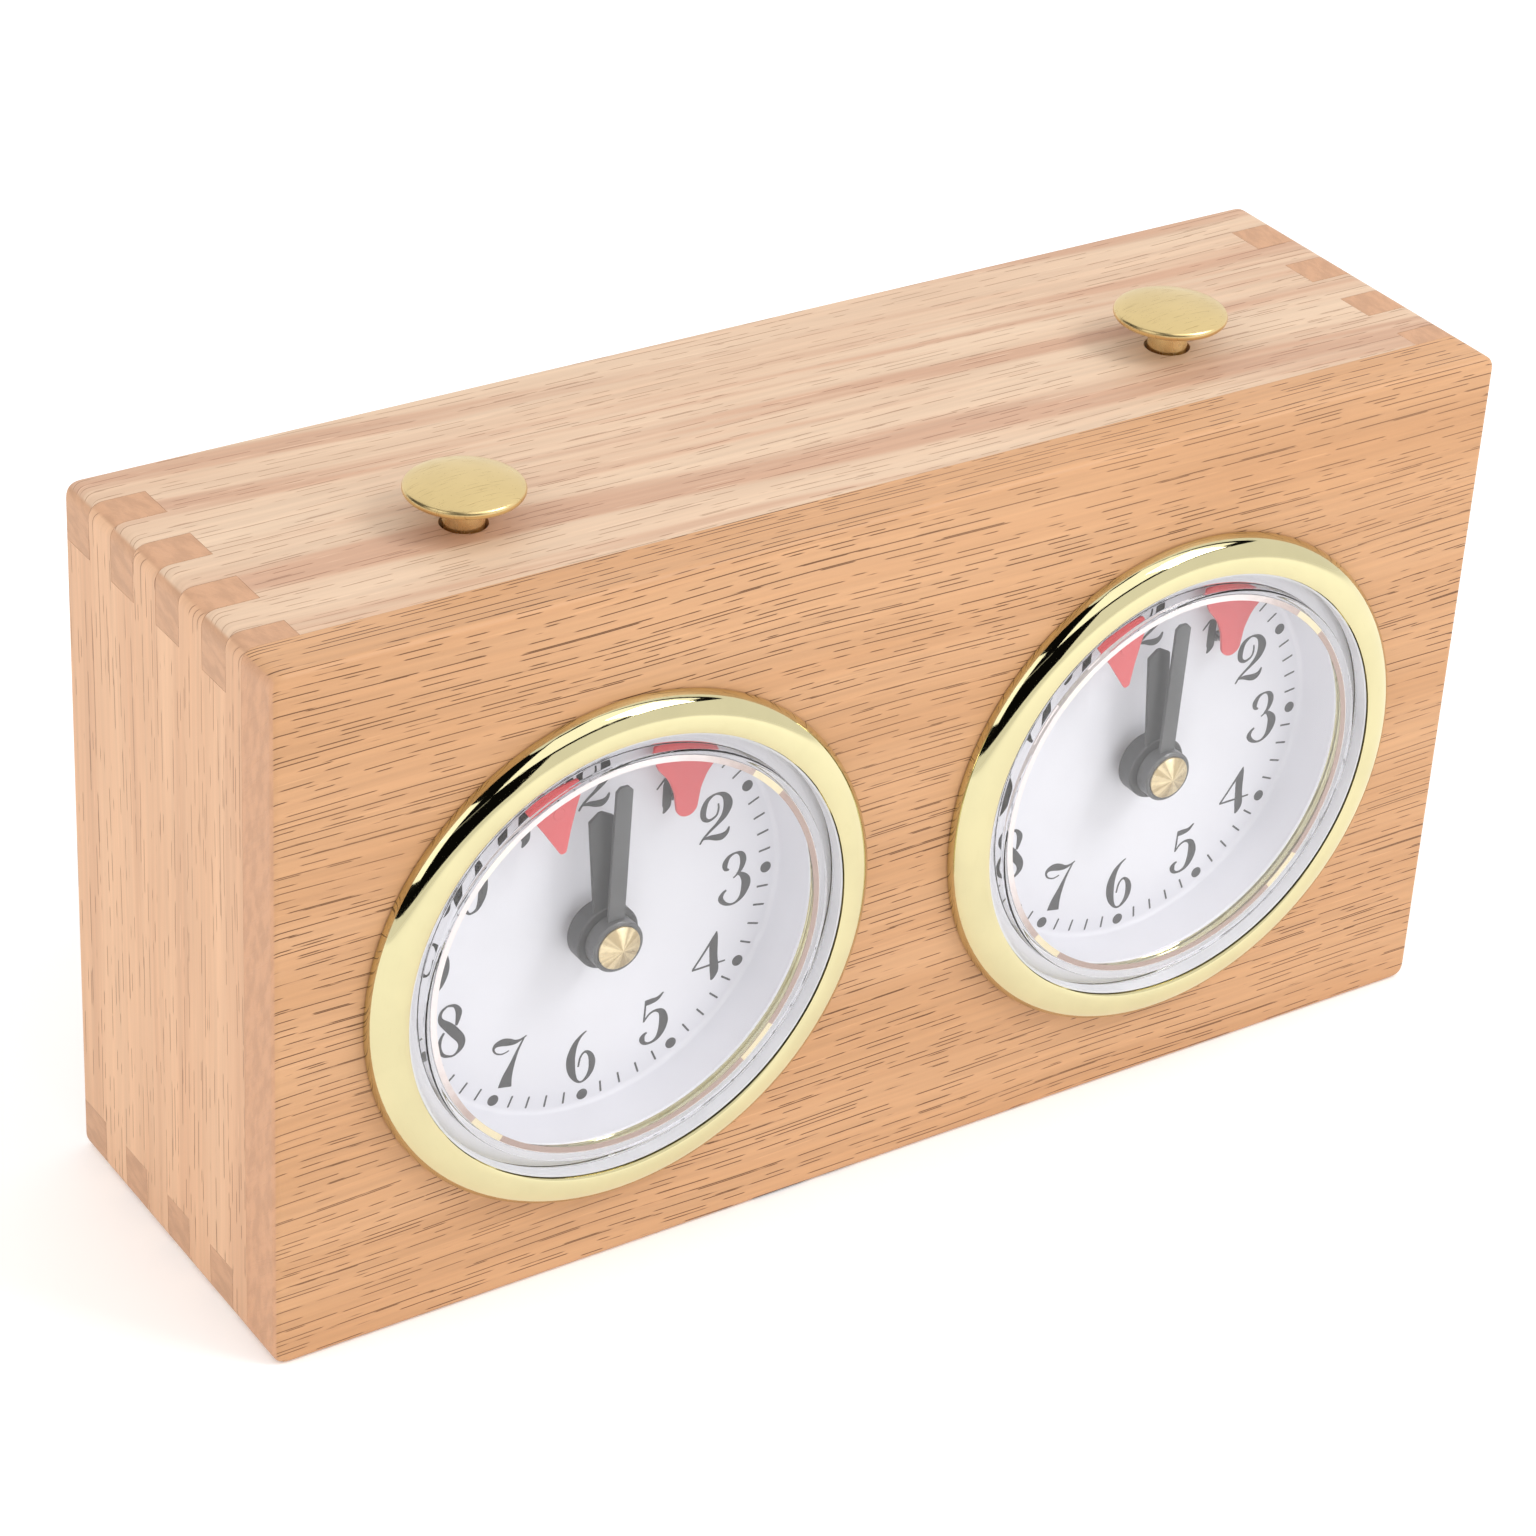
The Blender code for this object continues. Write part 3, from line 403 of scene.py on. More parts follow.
def slab(outline, y0, y1, holes=()):
    """Flat plate between two depths."""
    bm = bmesh.new()
    near, far = add_loop(bm, outline, y0), add_loop(bm, outline, y1)
    add_wall(bm, near, far)
    cuts = [(add_loop(bm, hole, y0), add_loop(bm, hole, y1)) for hole in holes]
    for cut in cuts:
        add_wall(bm, *cut)
    add_cap(bm, near, [cut[0] for cut in cuts])
    add_cap(bm, far, [cut[1] for cut in cuts])
    bmesh.ops.recalc_face_normals(bm, faces=bm.faces)
    return bm


def soften(bm, width, segments=2, angle=30.0):
    """Bevels every edge sharper than the angle."""
    limit = math.radians(angle)
    edges = [e for e in bm.edges if len(e.link_faces) == 2 and e.calc_face_angle(0.0) > limit]
    bmesh.ops.bevel(bm, geom=edges, offset=width, segments=segments, profile=0.5, affect="EDGES",
                    clamp_overlap=True)
    return bm


def turned(profile, sides=FINE, wave=None):
    """Solid of revolution about Y from (radius, y) points; wave(angle, radius) may change a radius."""
    bm = bmesh.new()
    rings = []
    for radius, y in profile:
        if not radius:
            rings.append([bm.verts.new((0, y, 0))])
            continue
        angles = [360 * i / sides for i in range(sides)]
        rings.append(add_loop(bm, [polar(wave(a, radius) if wave else radius, a) for a in angles], y))
    pairs = list(zip(rings, rings[1:]))
    if len(rings[0]) > 1:
        pairs.append((rings[-1], rings[0]))
    for a, b in pairs:
        for i in range(sides):
            j = (i + 1) % sides
            bm.faces.new(list(dict.fromkeys((a[i % len(a)], a[j % len(a)], b[j % len(b)], b[i % len(b)]))))
    bmesh.ops.recalc_face_normals(bm, faces=bm.faces)
    return bm


def turn(bm, degrees, axis, centre=(0, 0, 0)):
    matrix = Matrix.Rotation(math.radians(degrees), 3, axis)
    bmesh.ops.rotate(bm, verts=bm.verts, cent=centre, matrix=matrix)
    return bm


def move(bm, offset):
    bmesh.ops.translate(bm, verts=bm.verts, vec=offset)
    return bm


def join(*parts):
    """One bmesh from several."""
    joined = bmesh.new()
    for part in parts:
        mesh = bpy.data.meshes.new("part")
        part.to_mesh(mesh)
        part.free()
        joined.from_mesh(mesh)
        bpy.data.meshes.remove(mesh)
    return joined


def piece(name, bm, material, at=(0.0, 0.0, 0.0), sharp=35.0):
    """Object in metres, smooth where it is round, standing at the frame's origin."""
    move(bm, at)
    bmesh.ops.scale(bm, vec=(MM, MM, MM), verts=bm.verts)
    mesh = bpy.data.meshes.new(name)
    bm.to_mesh(mesh)
    bm.free()
    mesh.shade_smooth()
    mesh.set_sharp_from_angle(angle=math.radians(sharp))
    if material:
        mesh.materials.append(material)
    item = bpy.data.objects.new(name, mesh)
    bpy.context.scene.collection.objects.link(item)
    return item


def dress(item, body, slot, *nodes):
    """Makes the piece ride on its body and stand for its CAD nodes."""
    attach(item, body)
    if nodes:
        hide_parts(*nodes)
    return item


def combine(item, others, operation):
    """Applies a Boolean with helper objects, and removes them."""
    for other in others:
        modifier = item.modifiers.new("cut", "BOOLEAN")
        modifier.operation = operation
        modifier.object = other
        modifier.solver = "EXACT"
    graph = bpy.context.evaluated_depsgraph_get()
    made = bpy.data.meshes.new_from_object(item.evaluated_get(graph))
    item.modifiers.clear()
    item.data = made
    for other in others:
        bpy.data.objects.remove(other, do_unlink=True)
    return item


def even_shading(item, sharp=25.0):
    """Flat faces stay flat beside rounded edges."""
    item.data.shade_smooth()
    item.data.set_sharp_from_angle(angle=math.radians(sharp))
    modifier = item.modifiers.new("even", "WEIGHTED_NORMAL")
    modifier.keep_sharp = True
    modifier.weight = 60
    return item


def dial_at(side, at=(0.0, 0.0)):
    centre = DIALS[side]
    return (centre.x + at[0], FRONT, centre.z + at[1])


# ---------------------------------------------------------------- case

def rounded_block():
    """Outer shape of the case, with rounded corners in front view and softened front and back edges."""
    outline = fillet(rectangle(-WIDTH / 2, WIDTH / 2, -HEIGHT / 2, HEIGHT / 2), CORNER_RADIUS, 8)
    return piece("block", soften(slab(outline, FRONT, BACK), EDGE_RADIUS, 5), None, (0.0, 0.0, HEIGHT / 2))


def finger_outline(length, own_first):
    """Board outline as (along, depth) points, with fingers at both ends."""
    edges = [BOARD] + [BOARD + FIRST_FINGER + FINGER * i for i in range(FINGER_COUNT)]
    edges.append(BACK - FRONT + TRIM)
    reach, root = length / 2 + TRIM, length / 2 - BOARD - SEAM
    side = []
    for index, (low, high) in enumerate(zip(edges, edges[1:])):
        own = (index % 2 == 0) == own_first
        back_off = SEAM if own else -SEAM
        start = low + (SEAM if index == 0 else back_off)
        end = high if index == len(edges) - 2 else high - back_off
        side += [(reach if own else root, start), (reach if own else root, end)]
    return side + [(-along, depth) for along, depth in reversed(side)]


def build_boards(front_wood, top_wood, side_woods):
    for name, z0, z1 in (("top_board", HEIGHT - BOARD, HEIGHT + TRIM), ("bottom_board", -TRIM, BOARD)):
        holes = []
        if name == "top_board":
            depth = BUTTONS["left"].y - FRONT
            holes = [circle(BUTTON_HOLE_RADIUS, SMALL, (BUTTONS[side].x, depth)) for side in SIDES]
        bm = turn(slab(finger_outline(WIDTH, False), -z1, -z0, holes), -90, "X")
        board = piece(name + "_fine", bm, top_wood, (0.0, FRONT, 0.0))
        combine(board, [rounded_block()], "INTERSECT")
        dress(even_shading(board), "case", "beech_top", name)
    for name, x0, x1 in (("left_side_board", -WIDTH / 2 - TRIM, -WIDTH / 2 + BOARD),
                         ("right_side_board", WIDTH / 2 - BOARD, WIDTH / 2 + TRIM)):
        outline = [(depth, along) for along, depth in finger_outline(HEIGHT, True)]
        bm = turn(slab(outline, -x1, -x0), 90, "Z")
        material = side_woods[name.split("_")[0]]
        board = piece(name + "_fine", bm, material, (0.0, FRONT, HEIGHT / 2))
        combine(board, [rounded_block()], "INTERSECT")
        dress(even_shading(board), "case", "beech_side", name)

    openings = [circle(OPENING_RADIUS, FINE, (DIALS[side].x, DIALS[side].z)) for side in SIDES]
    outline = rectangle(-WIDTH / 2 - TRIM, WIDTH / 2 + TRIM, -TRIM, HEIGHT + TRIM)
    panel = piece("front_panel_fine", slab(outline, -TRIM, BOARD, openings), front_wood, (0.0, FRONT, 0.0))
    dress(even_shading(combine(panel, [rounded_block()], "INTERSECT")), "case", "beech_front", "front_panel")


def build_back(plywood, steel):
    low, high = box_mm("back_panel")
    holes = [circle(KNOB_HOLE_RADIUS, SMALL, (DIALS[side].x, DIALS[side].z)) for side in SIDES]
    for side in SIDES:
        key_low, key_high = box_mm(f"{side}_winding_key")
        key = (key_low + key_high) / 2
        holes.append(circle(KEY_HOLE_RADIUS, SMALL, (key.x, key.z)))
    bm = slab(fillet(rectangle(low.x, high.x, low.z, high.z), 0.8), low.y, high.y, holes)
    dress(even_shading(piece("back_panel_fine", soften(bm, 0.35), plywood)), "case", "plywood", "back_panel")
    for level in ("lower", "upper"):
        for side in SIDES:
            build_screw(f"{level}_{side}_screw", steel)


def build_screw(name, steel):
    """Countersunk wood screw: domed, slotted head and a tapering threaded shank."""
    low, high = box_mm(name)
    centre, head, face = (low + high) / 2, (high.x - low.x) / 2, high.y
    pitch, shank, root = 0.9, 1.15, 0.85
    threads = int((high.y - 1.4 - low.y - 1.5) / pitch)
    profile = [(0, low.y)]
    for i in range(threads):
        y = low.y + 1.5 + pitch * i
        profile += [(root, y), (shank, y + pitch / 2)]
    rim = high.y - 1.3
    profile += [(root, rim - 0.1), (head - 0.15, rim - 0.1), (head, rim + 0.1)]
    profile += [(head * x, rim + 0.1 + (face - rim - 0.1) * y)
                for x, y in (polar(1.0, a) for a in range(12, 90, 13))] + [(0, face)]
    screw = piece(name + "_fine", turned(profile, 32), steel, (centre.x, 0.0, centre.z))
    slot_half, slot_deep = 0.3, 0.65
    angle = 25 if "left" in name else 70
    slot = slab(rectangle(-head - 1, head + 1, -slot_half, slot_half), face - slot_deep, face + 1)
    slot = piece("slot", turn(slot, angle, "Y"), None, (centre.x, 0.0, centre.z))
    combine(screw, [slot], "DIFFERENCE")
    screw.data.shade_smooth()
    screw.data.set_sharp_from_angle(angle=math.radians(35))
    dress(screw, "case", "steel", name)


# ---------------------------------------------------------------- buttons, knobs and keys

def build_buttons(brass, painted_reflection_brass):
    for side in SIDES:
        low, high = box_mm(f"{side}_button")
        radius, top = (high.x - low.x) / 2, high.z
        rest = top - BUTTON_RISE
        foot = low.z - rest
        shaft = [(0, foot), (STEM_RADIUS - 0.3, foot), (STEM_RADIUS, foot + 0.3), (STEM_RADIUS, STEM_END)]
        shaft += [(STEM_RADIUS + STEM_FILLET - x, z) for x, z in arc(STEM_FILLET, 0, 80, 5, (0, STEM_END))]
        neck = shaft[-1]
        profile = [(0, neck[1]), neck, (5.2, 4.15), (7.4, 4.65)]
        profile += arc(0.75, -75, 60, 9, (radius - 0.75, 5.6))
        profile += [(radius - 0.9, 6.42), (7.4, 6.72), (5.4, 7.1), (3.4, 7.36), (1.6, 7.47), (0, BUTTON_RISE)]
        at = (BUTTONS[side].x, BUTTONS[side].y, rest)
        head = piece(f"{side}_button_head", turn(turned(profile, 96), 90, "X"), brass, at)
        dress(head, f"{side}_button", "button_brass", f"{side}_button")
        # the stem takes a brighter brass: a painted warm reflection of the wood
        stem_bm = turn(turned(shaft + [(0, neck[1])], SMALL), 90, "X")
        dress(piece(f"{side}_button_stem", stem_bm, painted_reflection_brass, at), f"{side}_button", "button_brass")


def build_knobs(steel, brass):
    for side in SIDES:
        low, high = box_mm(f"{side}_setting_knob")
        radius, start, end = (high.x - low.x) / 2, low.y - FRONT, high.y - FRONT
        flutes, flute_depth = 36, 0.28

        def knurl(angle, r, limit=radius - 0.3):
            depth = flute_depth * (0.5 - 0.5 * math.cos(math.radians(angle * flutes)))
            return r - depth if r > limit else r

        profile = [(1.15, start), (radius - 0.5, start), (radius, start + 0.4), (radius, end - 1.2)]
        profile += [(radius - 0.2, end - 0.9), (radius - 0.9, end - 0.4), (radius - 1.4, end - 0.4)]
        profile += [(radius - 1.8, end), (1.5, end), (1.15, end - 0.2)]
        knob = piece(f"{side}_setting_knob_fine", turned(profile, flutes * 6, knurl), steel, dial_at(side))
        dress(knob, f"{side}_minute", "steel", f"{side}_setting_knob")
        build_key(side, brass)


def build_key(side, brass):
    """Winding key: arbor, collar and two flat wings with rounded ends."""
    low, high = box_mm(f"{side}_winding_key")
    centre, reach = (low + high) / 2, (high.x - low.x) / 2
    end = high.y - FRONT
    profile = [(0, low.y - FRONT), (0.6, low.y - FRONT), (0.6, 15.9), (1.0, 16.0), (2.0, 16.1), (2.0, 33.0)]
    profile += [(1.5, 33.2), (1.5, 66.4), (2.4, 66.4), (2.6, 66.6), (2.6, 68.2), (2.9, 68.5), (2.9, 71.0)]
    profile += [(2.7, 73.6), (2.1, 74.8), (0, 75.2)]
    arbor = turned(profile, 48)
    lobe, waist = 3.6, 1.7
    middle = end - lobe
    wing = [(1.2, middle - waist), *arc(lobe, -140, 140, 28, (reach - lobe, middle)), (1.2, middle + waist)]
    outline = wing + [(-x, y) for x, y in reversed(wing)]
    eyes = [circle(1.3, 32, (sign * (reach - lobe), middle)) for sign in (1, -1)]
    wings = turn(soften(slab(outline, -1.1, 1.1, eyes), 0.3), 90, "X")
    bmesh.ops.scale(wings, vec=(1, -1, 1), verts=wings.verts)
    bmesh.ops.reverse_faces(wings, faces=wings.faces)
    key = piece(f"{side}_winding_key_fine", arbor, brass, (centre.x, FRONT, centre.z))
    blades = piece("wings", wings, None, (centre.x, FRONT, centre.z))
    combine(key, [blades], "UNION")
    key.data.shade_smooth()
    key.data.set_sharp_from_angle(angle=math.radians(35))
    dress(key, f"{side}_key", "key_brass", f"{side}_winding_key")


# ---------------------------------------------------------------- dials

def build_bezel(side, gold, white):
    """Pressed ring: a round outer flank up to a crest near its inner edge, and a sleeve in the panel."""
    proud = FRONT - box_mm(f"{side}_bezel")[0].y
    crest, inner = BEZEL_CREST_RADIUS, BEZEL_INNER_RADIUS
    profile = [(BEZEL_RADIUS - 0.2, -0.1), (BEZEL_RADIUS, -0.2)]
    profile += [(crest + (BEZEL_RADIUS - crest) * x, -0.35 - (proud - 0.35) * z)
                for x, z in arc(1.0, 0, 90, 24)]
    profile += [(crest - (crest - inner) * t / 8, -proud + BEZEL_DROP * (t / 8) ** 2) for t in range(1, 9)]
    profile += [(inner + 0.05, 0.5 - proud), (38.3, 1.1 - proud), (38.3, -0.75), (inner - 0.3, -0.75),
                (inner - 0.3, -0.7), (BEZEL_SLEEVE_INNER, -0.7), (BEZEL_SLEEVE_INNER, BEZEL_SLEEVE_END),
                (BEZEL_SLEEVE_OUTER, BEZEL_SLEEVE_END), (BEZEL_SLEEVE_OUTER, -0.1)]
    bezel = piece(f"{side}_bezel_fine", turned(profile), gold, dial_at(side), sharp=50)
    dress(bezel, "case", "polished_gold", f"{side}_bezel")
    near, far = 0.65 - proud, -0.95
    liner = [(LINER_INNER, far), (LINER_INNER, near), (LINER_OUTER, near), (LINER_OUTER, far)]
    dress(piece(f"{side}_bezel_liner", turned(liner), white, dial_at(side)), "case", "dial_white")


def build_lens(side, clear):
    """Moulded window of even thickness: flat face, upright wall and a flange under the bezel."""
    outer = fillet([(0, LENS_FRONT), (LENS_OUTER - 0.1, LENS_FRONT), (LENS_OUTER, FLANGE_FRONT),
                    (FLANGE_RADIUS, FLANGE_FRONT), (FLANGE_RADIUS, -0.4), (LENS_RADIUS, -0.4)],
                   [0, 0.55, 0.35, 0, 0, 0], 8, closed=False)
    bore = LENS_OUTER - LENS_WALL
    inner = fillet([(LENS_RADIUS, FLANGE_BACK), (bore, FLANGE_BACK), (bore - 0.1, LENS_FRONT + LENS_WALL),
                    (0, LENS_FRONT + LENS_WALL)], [0, 0.2, 0.3, 0], 8, closed=False)
    lens = piece(f"{side}_lens_fine", turned(outer + inner), clear, dial_at(side), sharp=50)
    lens.visible_shadow = False
    lens.visible_diffuse = False
    dress(lens, "case", "clear_lens", f"{side}_lens")


def build_dial(side, white, seat, tab):
    corner = DIAL_CORNER
    profile = [(DIAL_BORE, DIAL_FLOOR), (DIAL_RADIUS - corner, DIAL_FLOOR)]
    profile += [(DIAL_RADIUS - corner + corner * math.sin(math.radians(a)),
                 DIAL_FLOOR - corner + corner * math.cos(math.radians(a))) for a in range(10, 90, 10)]
    profile += [(DIAL_RADIUS + 0.4, DIAL_RIM_FRONT + 0.2), (DIAL_RADIUS + 0.6, DIAL_RIM_FRONT)]
    profile += [(LENS_RADIUS, DIAL_RIM_FRONT), (LENS_RADIUS, DIAL_RIM_BACK)]
    profile += [(DIAL_RADIUS + 0.5 + DIAL_WALL, DIAL_RIM_BACK), (DIAL_RADIUS + DIAL_WALL, DIAL_FLOOR)]
    profile += [(DIAL_RADIUS, DIAL_BACK), (DIAL_BORE, DIAL_BACK)]
    dial = piece(f"{side}_dial_fine", turned(profile), white, dial_at(side))
    drills = []
    for at in (FLAG_AT, INDICATOR_AT):
        drill = slab(circle(DRILL_RADIUS, 24), DIAL_FLOOR - 1, DIAL_FLOOR + 2)
        drills.append(piece("drill", drill, None, dial_at(side, at)))
    combine(dial, drills, "DIFFERENCE")
    dial.data.shade_smooth()
    dial.data.set_sharp_from_angle(angle=math.radians(35))
    dress(dial, "case", "dial_white", f"{side}_dial")

    ring = [(SEAT_INNER, SEAT_BACK), (SEAT_INNER, SEAT_FRONT)]
    ring += [(SEAT_OUTER, SEAT_FRONT), (SEAT_OUTER, SEAT_BACK)]
    dress(piece(f"{side}_lens_seat", turned(ring), seat, dial_at(side)), "case", "beech_side")
    tabs = []
    for clock in TAB_CLOCK_ANGLES:
        start, end = 90 - clock - TAB_HALF_ANGLE, 90 - clock + TAB_HALF_ANGLE
        outline = arc(SEAT_INNER, start, end, 8) + arc(SEAT_OUTER, end, start, 8)
        tabs.append(slab(outline, SEAT_FRONT - 0.03, SEAT_FRONT - 0.01))
    dress(piece(f"{side}_lens_tabs", join(*tabs), tab, dial_at(side)), "case", "cap_brass")


# Numerals: each stroke is a line of (x, z, half width) points, in millimetres from the numeral's centre.
STROKES = {
    "0": [[(0.1, 4.5, .13), (-1.1, 3.9, .3), (-1.8, 1.8, .68), (-1.85, -0.6, .74), (-1.5, -2.9, .55),
           (-0.6, -4.3, .2), (0.1, -4.55, .13), (1.1, -3.9, .3), (1.8, -1.8, .68), (1.85, 0.6, .74),
           (1.5, 2.9, .55), (0.7, 4.3, .2), (0.1, 4.5, .13)]],
    "1": [[(-1.6, 0.1, .1), (-0.9, 0.9, .13), (-0.35, 1.5, .14)],
          [(-0.45, 1.65, .1), (0.25, 0.9, .72), (0.25, -0.8, .74), (0.25, -2.9, .74), (0.15, -3.6, .5),
           (-0.3, -4.4, .1)]],
    "2": [[(.2, 2.4, .1), (.28, 1.4, .13), (-.1, .3, .14), (-1.35, -.2, .22), (-2.3, .5, .42),
           (-2.4, 2.0, .5), (-1.75, 3.5, .34), (-.3, 4.2, .13), (1.2, 3.6, .45), (1.95, 2.0, .78),
           (1.5, .25, .58), (.3, -1.1, .3), (-1.1, -2.2, .19), (-2.2, -3.2, .15), (-2.75, -4.05, .12)],
          [(-2.1, -3.25, .1), (-1.0, -3.3, .32), (.2, -3.6, .5), (1.2, -3.65, .55), (2.0, -3.15, .33),
           (2.4, -2.3, .1)]],
    "3": [[(-1.1, 1.8, .1), (-1.75, 2.15, .32), (-1.85, 3.1, .46), (-1.2, 4.15, .28), (0, 4.55, .13),
           (1.0, 4.05, .42), (1.4, 2.9, .52), (1.1, 1.5, .35), (.4, .55, .14), (-.25, .1, .08)],
          [(.3, .75, .1), (1.15, .4, .36), (2.0, -.7, .72), (2.1, -1.9, .76), (1.6, -3.4, .46),
           (.7, -4.35, .2), (-.4, -4.6, .14), (-1.6, -4.1, .3), (-2.35, -3.1, .42), (-2.0, -2.2, .25),
           (-1.4, -1.75, .13)]],
    "4": [[(1.3, 4.4, .06), (1.1, 3.4, .42), (.85, 2.1, .7), (.92, 0, .68), (1.15, -2.5, .75),
           (1.0, -3.6, .5), (.7, -4.35, .12)],
          [(.9, 3.6, .2), (0, 2.3, .16), (-1.4, .35, .14), (-2.8, -1.5, .13)],
          [(-2.9, -1.55, .12), (.3, -1.5, .13), (3.1, -1.45, .1)]],
    "5": [[(-1.6, 3.35, .44), (-.6, 3.4, .46), (.6, 3.6, .3), (1.6, 4.45, .08)],
          [(-1.52, 3.8, .12), (-1.63, 1.5, .12), (-1.75, -.1, .1)],
          [(-1.75, .0, .1), (-.8, 1.1, .13), (.35, 1.45, .18), (1.45, .8, .52), (1.85, -.9, .76),
           (1.45, -2.7, .58), (.6, -3.9, .28), (-.6, -4.3, .15), (-1.6, -3.95, .3), (-1.95, -3.1, .45),
           (-1.6, -2.45, .25), (-1.1, -2.2, .1)]],
    "6": [[(.8, 4.65, .07), (-.2, 3.95, .2), (-1.15, 2.7, .46), (-1.75, .8, .7), (-1.8, -.9, .74),
           (-1.45, -2.6, .56), (-.7, -4.05, .24), (.2, -4.55, .13), (1.15, -4.0, .28), (1.85, -2.8, .46),
           (2.0, -1.2, .54), (1.55, .2, .36), (.7, .85, .16), (-.1, .1, .13), (-.45, -1.6, .11)]],
    "7": [[(.05, 2.05, .07), (-1.1, 1.8, .08), (-2.2, 2.25, .1), (-2.65, 3.1, .17), (-2.2, 3.75, .38),
           (-1.1, 3.9, .6), (0, 3.6, .58), (1.0, 3.3, .36), (2.0, 3.4, .16), (3.05, 3.85, .06)],
          [(2.6, 3.55, .1), (1.5, 1.5, .19), (.55, -.8, .46), (-.2, -2.8, .86), (-.55, -4.45, 1.15)]],
    "8": [[(-.7, 4.6, .13), (-1.6, 4.0, .2), (-1.95, 3.0, .28), (-1.6, 2.0, .5), (-.5, .85, .74),
           (.6, -.5, .8), (1.65, -2.0, .7), (1.75, -3.3, .48), (1.0, -4.3, .2), (.1, -4.6, .13),
           (-1.3, -4.0, .26), (-1.95, -2.6, .3), (-1.8, -1.1, .24), (-1.2, 0, .14)],
          [(-.7, 4.6, .13), (.5, 4.3, .26), (1.2, 3.2, .5), (1.15, 2.0, .4), (.85, .7, .16)]],
}
STROKES["9"] = [[(-x, -z, half) for x, z, half in stroke] for stroke in STROKES["6"]]
ADVANCE = {"0": 4.6, "1": 3.4, "2": 5.4}


def spline(points, steps=6):
    """Catmull-Rom curve through the points."""
    ends = [points[0]] + list(points) + [points[-1]]
    made = []
    for a, b, c, d in zip(ends, ends[1:], ends[2:], ends[3:]):
        for k in range(steps):
            t = k / steps
            made.append(tuple(0.5 * (2 * q + (r - p) * t + (2 * p - 5 * q + 4 * r - s) * t * t
                                     + (3 * q - p - 3 * r + s) * t ** 3) for p, q, r, s in zip(a, b, c, d)))
    return made + [tuple(points[-1])]


def ribbon(stroke, base, top):
    """Flat raised ribbon along a stroke of (x, z, half width) points."""
    line = spline(stroke)
    left, right = [], []
    for i, (x, z, half) in enumerate(line):
        before, after = line[max(i - 1, 0)], line[min(i + 1, len(line) - 1)]
        direction = Vector((after[0] - before[0], after[1] - before[1])).normalized()
        side = Vector((-direction.y, direction.x)) * (half + PRINT_SPREAD)
        left.append((x + side.x, z + side.y))
        right.append((x - side.x, z - side.y))
    bm = bmesh.new()
    rows = [[bm.verts.new((x, y, z)) for x, z in edge] for edge, y in
            ((left, top), (right, top), (right, base), (left, base))]
    for a, b in zip(rows, rows[1:] + rows[:1]):
        for i in range(len(line) - 1):
            bm.faces.new((a[i], a[i + 1], b[i + 1], b[i]))
    bm.faces.new([row[0] for row in rows])
    bm.faces.new([row[-1] for row in reversed(rows)])
    bmesh.ops.recalc_face_normals(bm, faces=bm.faces)
    return bm


def build_print(side, ink):
    """Numerals, hour dots and minute ticks printed on the dial."""
    marks = []
    for minute in range(60):
        angle = 90 - 6 * minute
        if minute % 5:
            tick = rectangle(TICK_INNER, TICK_OUTER, -TICK_HALF_WIDTH, TICK_HALF_WIDTH)
            bm = turn(slab(fillet(tick, 0.08, 2), DIAL_FLOOR - PRINT_HEIGHT, DIAL_FLOOR), -angle, "Y")
        else:
            dot = circle(DOT_RADIUS, 32, polar(DOT_CIRCLE, angle))
            bm = slab(dot, DIAL_FLOOR - PRINT_HEIGHT, DIAL_FLOOR)
        marks.append(bm)
    dress(piece(f"{side}_dial_marks", join(*marks), ink, dial_at(side, PRINT_SHIFT)), "case", "hand_black")
    strokes = []
    for hour in range(1, 13):
        text = str(hour)
        width = sum(ADVANCE.get(c, 5.0) for c in text)
        x, z = NUMERAL_CENTRES[hour]
        x -= width / 2
        for place, character in enumerate(text):
            x += ADVANCE.get(character, 5.0) / 2
            for level, stroke in enumerate(STROKES[character]):
                top = DIAL_FLOOR - PRINT_HEIGHT - 0.004 * level - 0.012 * place
                strokes.append(move(ribbon(stroke, DIAL_FLOOR, top), (x, 0, z)))
            x += ADVANCE.get(character, 5.0) / 2
    dress(piece(f"{side}_numerals", join(*strokes), ink, dial_at(side)), "case", "hand_black")


# ---------------------------------------------------------------- hands and flags

def hand(length, half_width, tip, blunt, hub, hole, near, far):
    """Straight hand with chamfered corners at its tip and a round hub, pointing to +Z."""
    root = math.degrees(math.asin(half_width / hub))
    outline = arc(hub, 90 + root, 450 - root, 60)
    outline += [(half_width, length - tip), (blunt, length), (-blunt, length), (-half_width, length - tip)]
    return soften(slab(outline, near, far, [circle(hole, 32)]), 0.07, 2)


def boss(radius, near, far, hole):
    """Hub of a hand."""
    profile = [(hole, near), (radius - 0.2, near), (radius, near + 0.2)]
    profile += [(radius, far - 0.2), (radius - 0.2, far), (hole, far)]
    return turned(profile, 96)


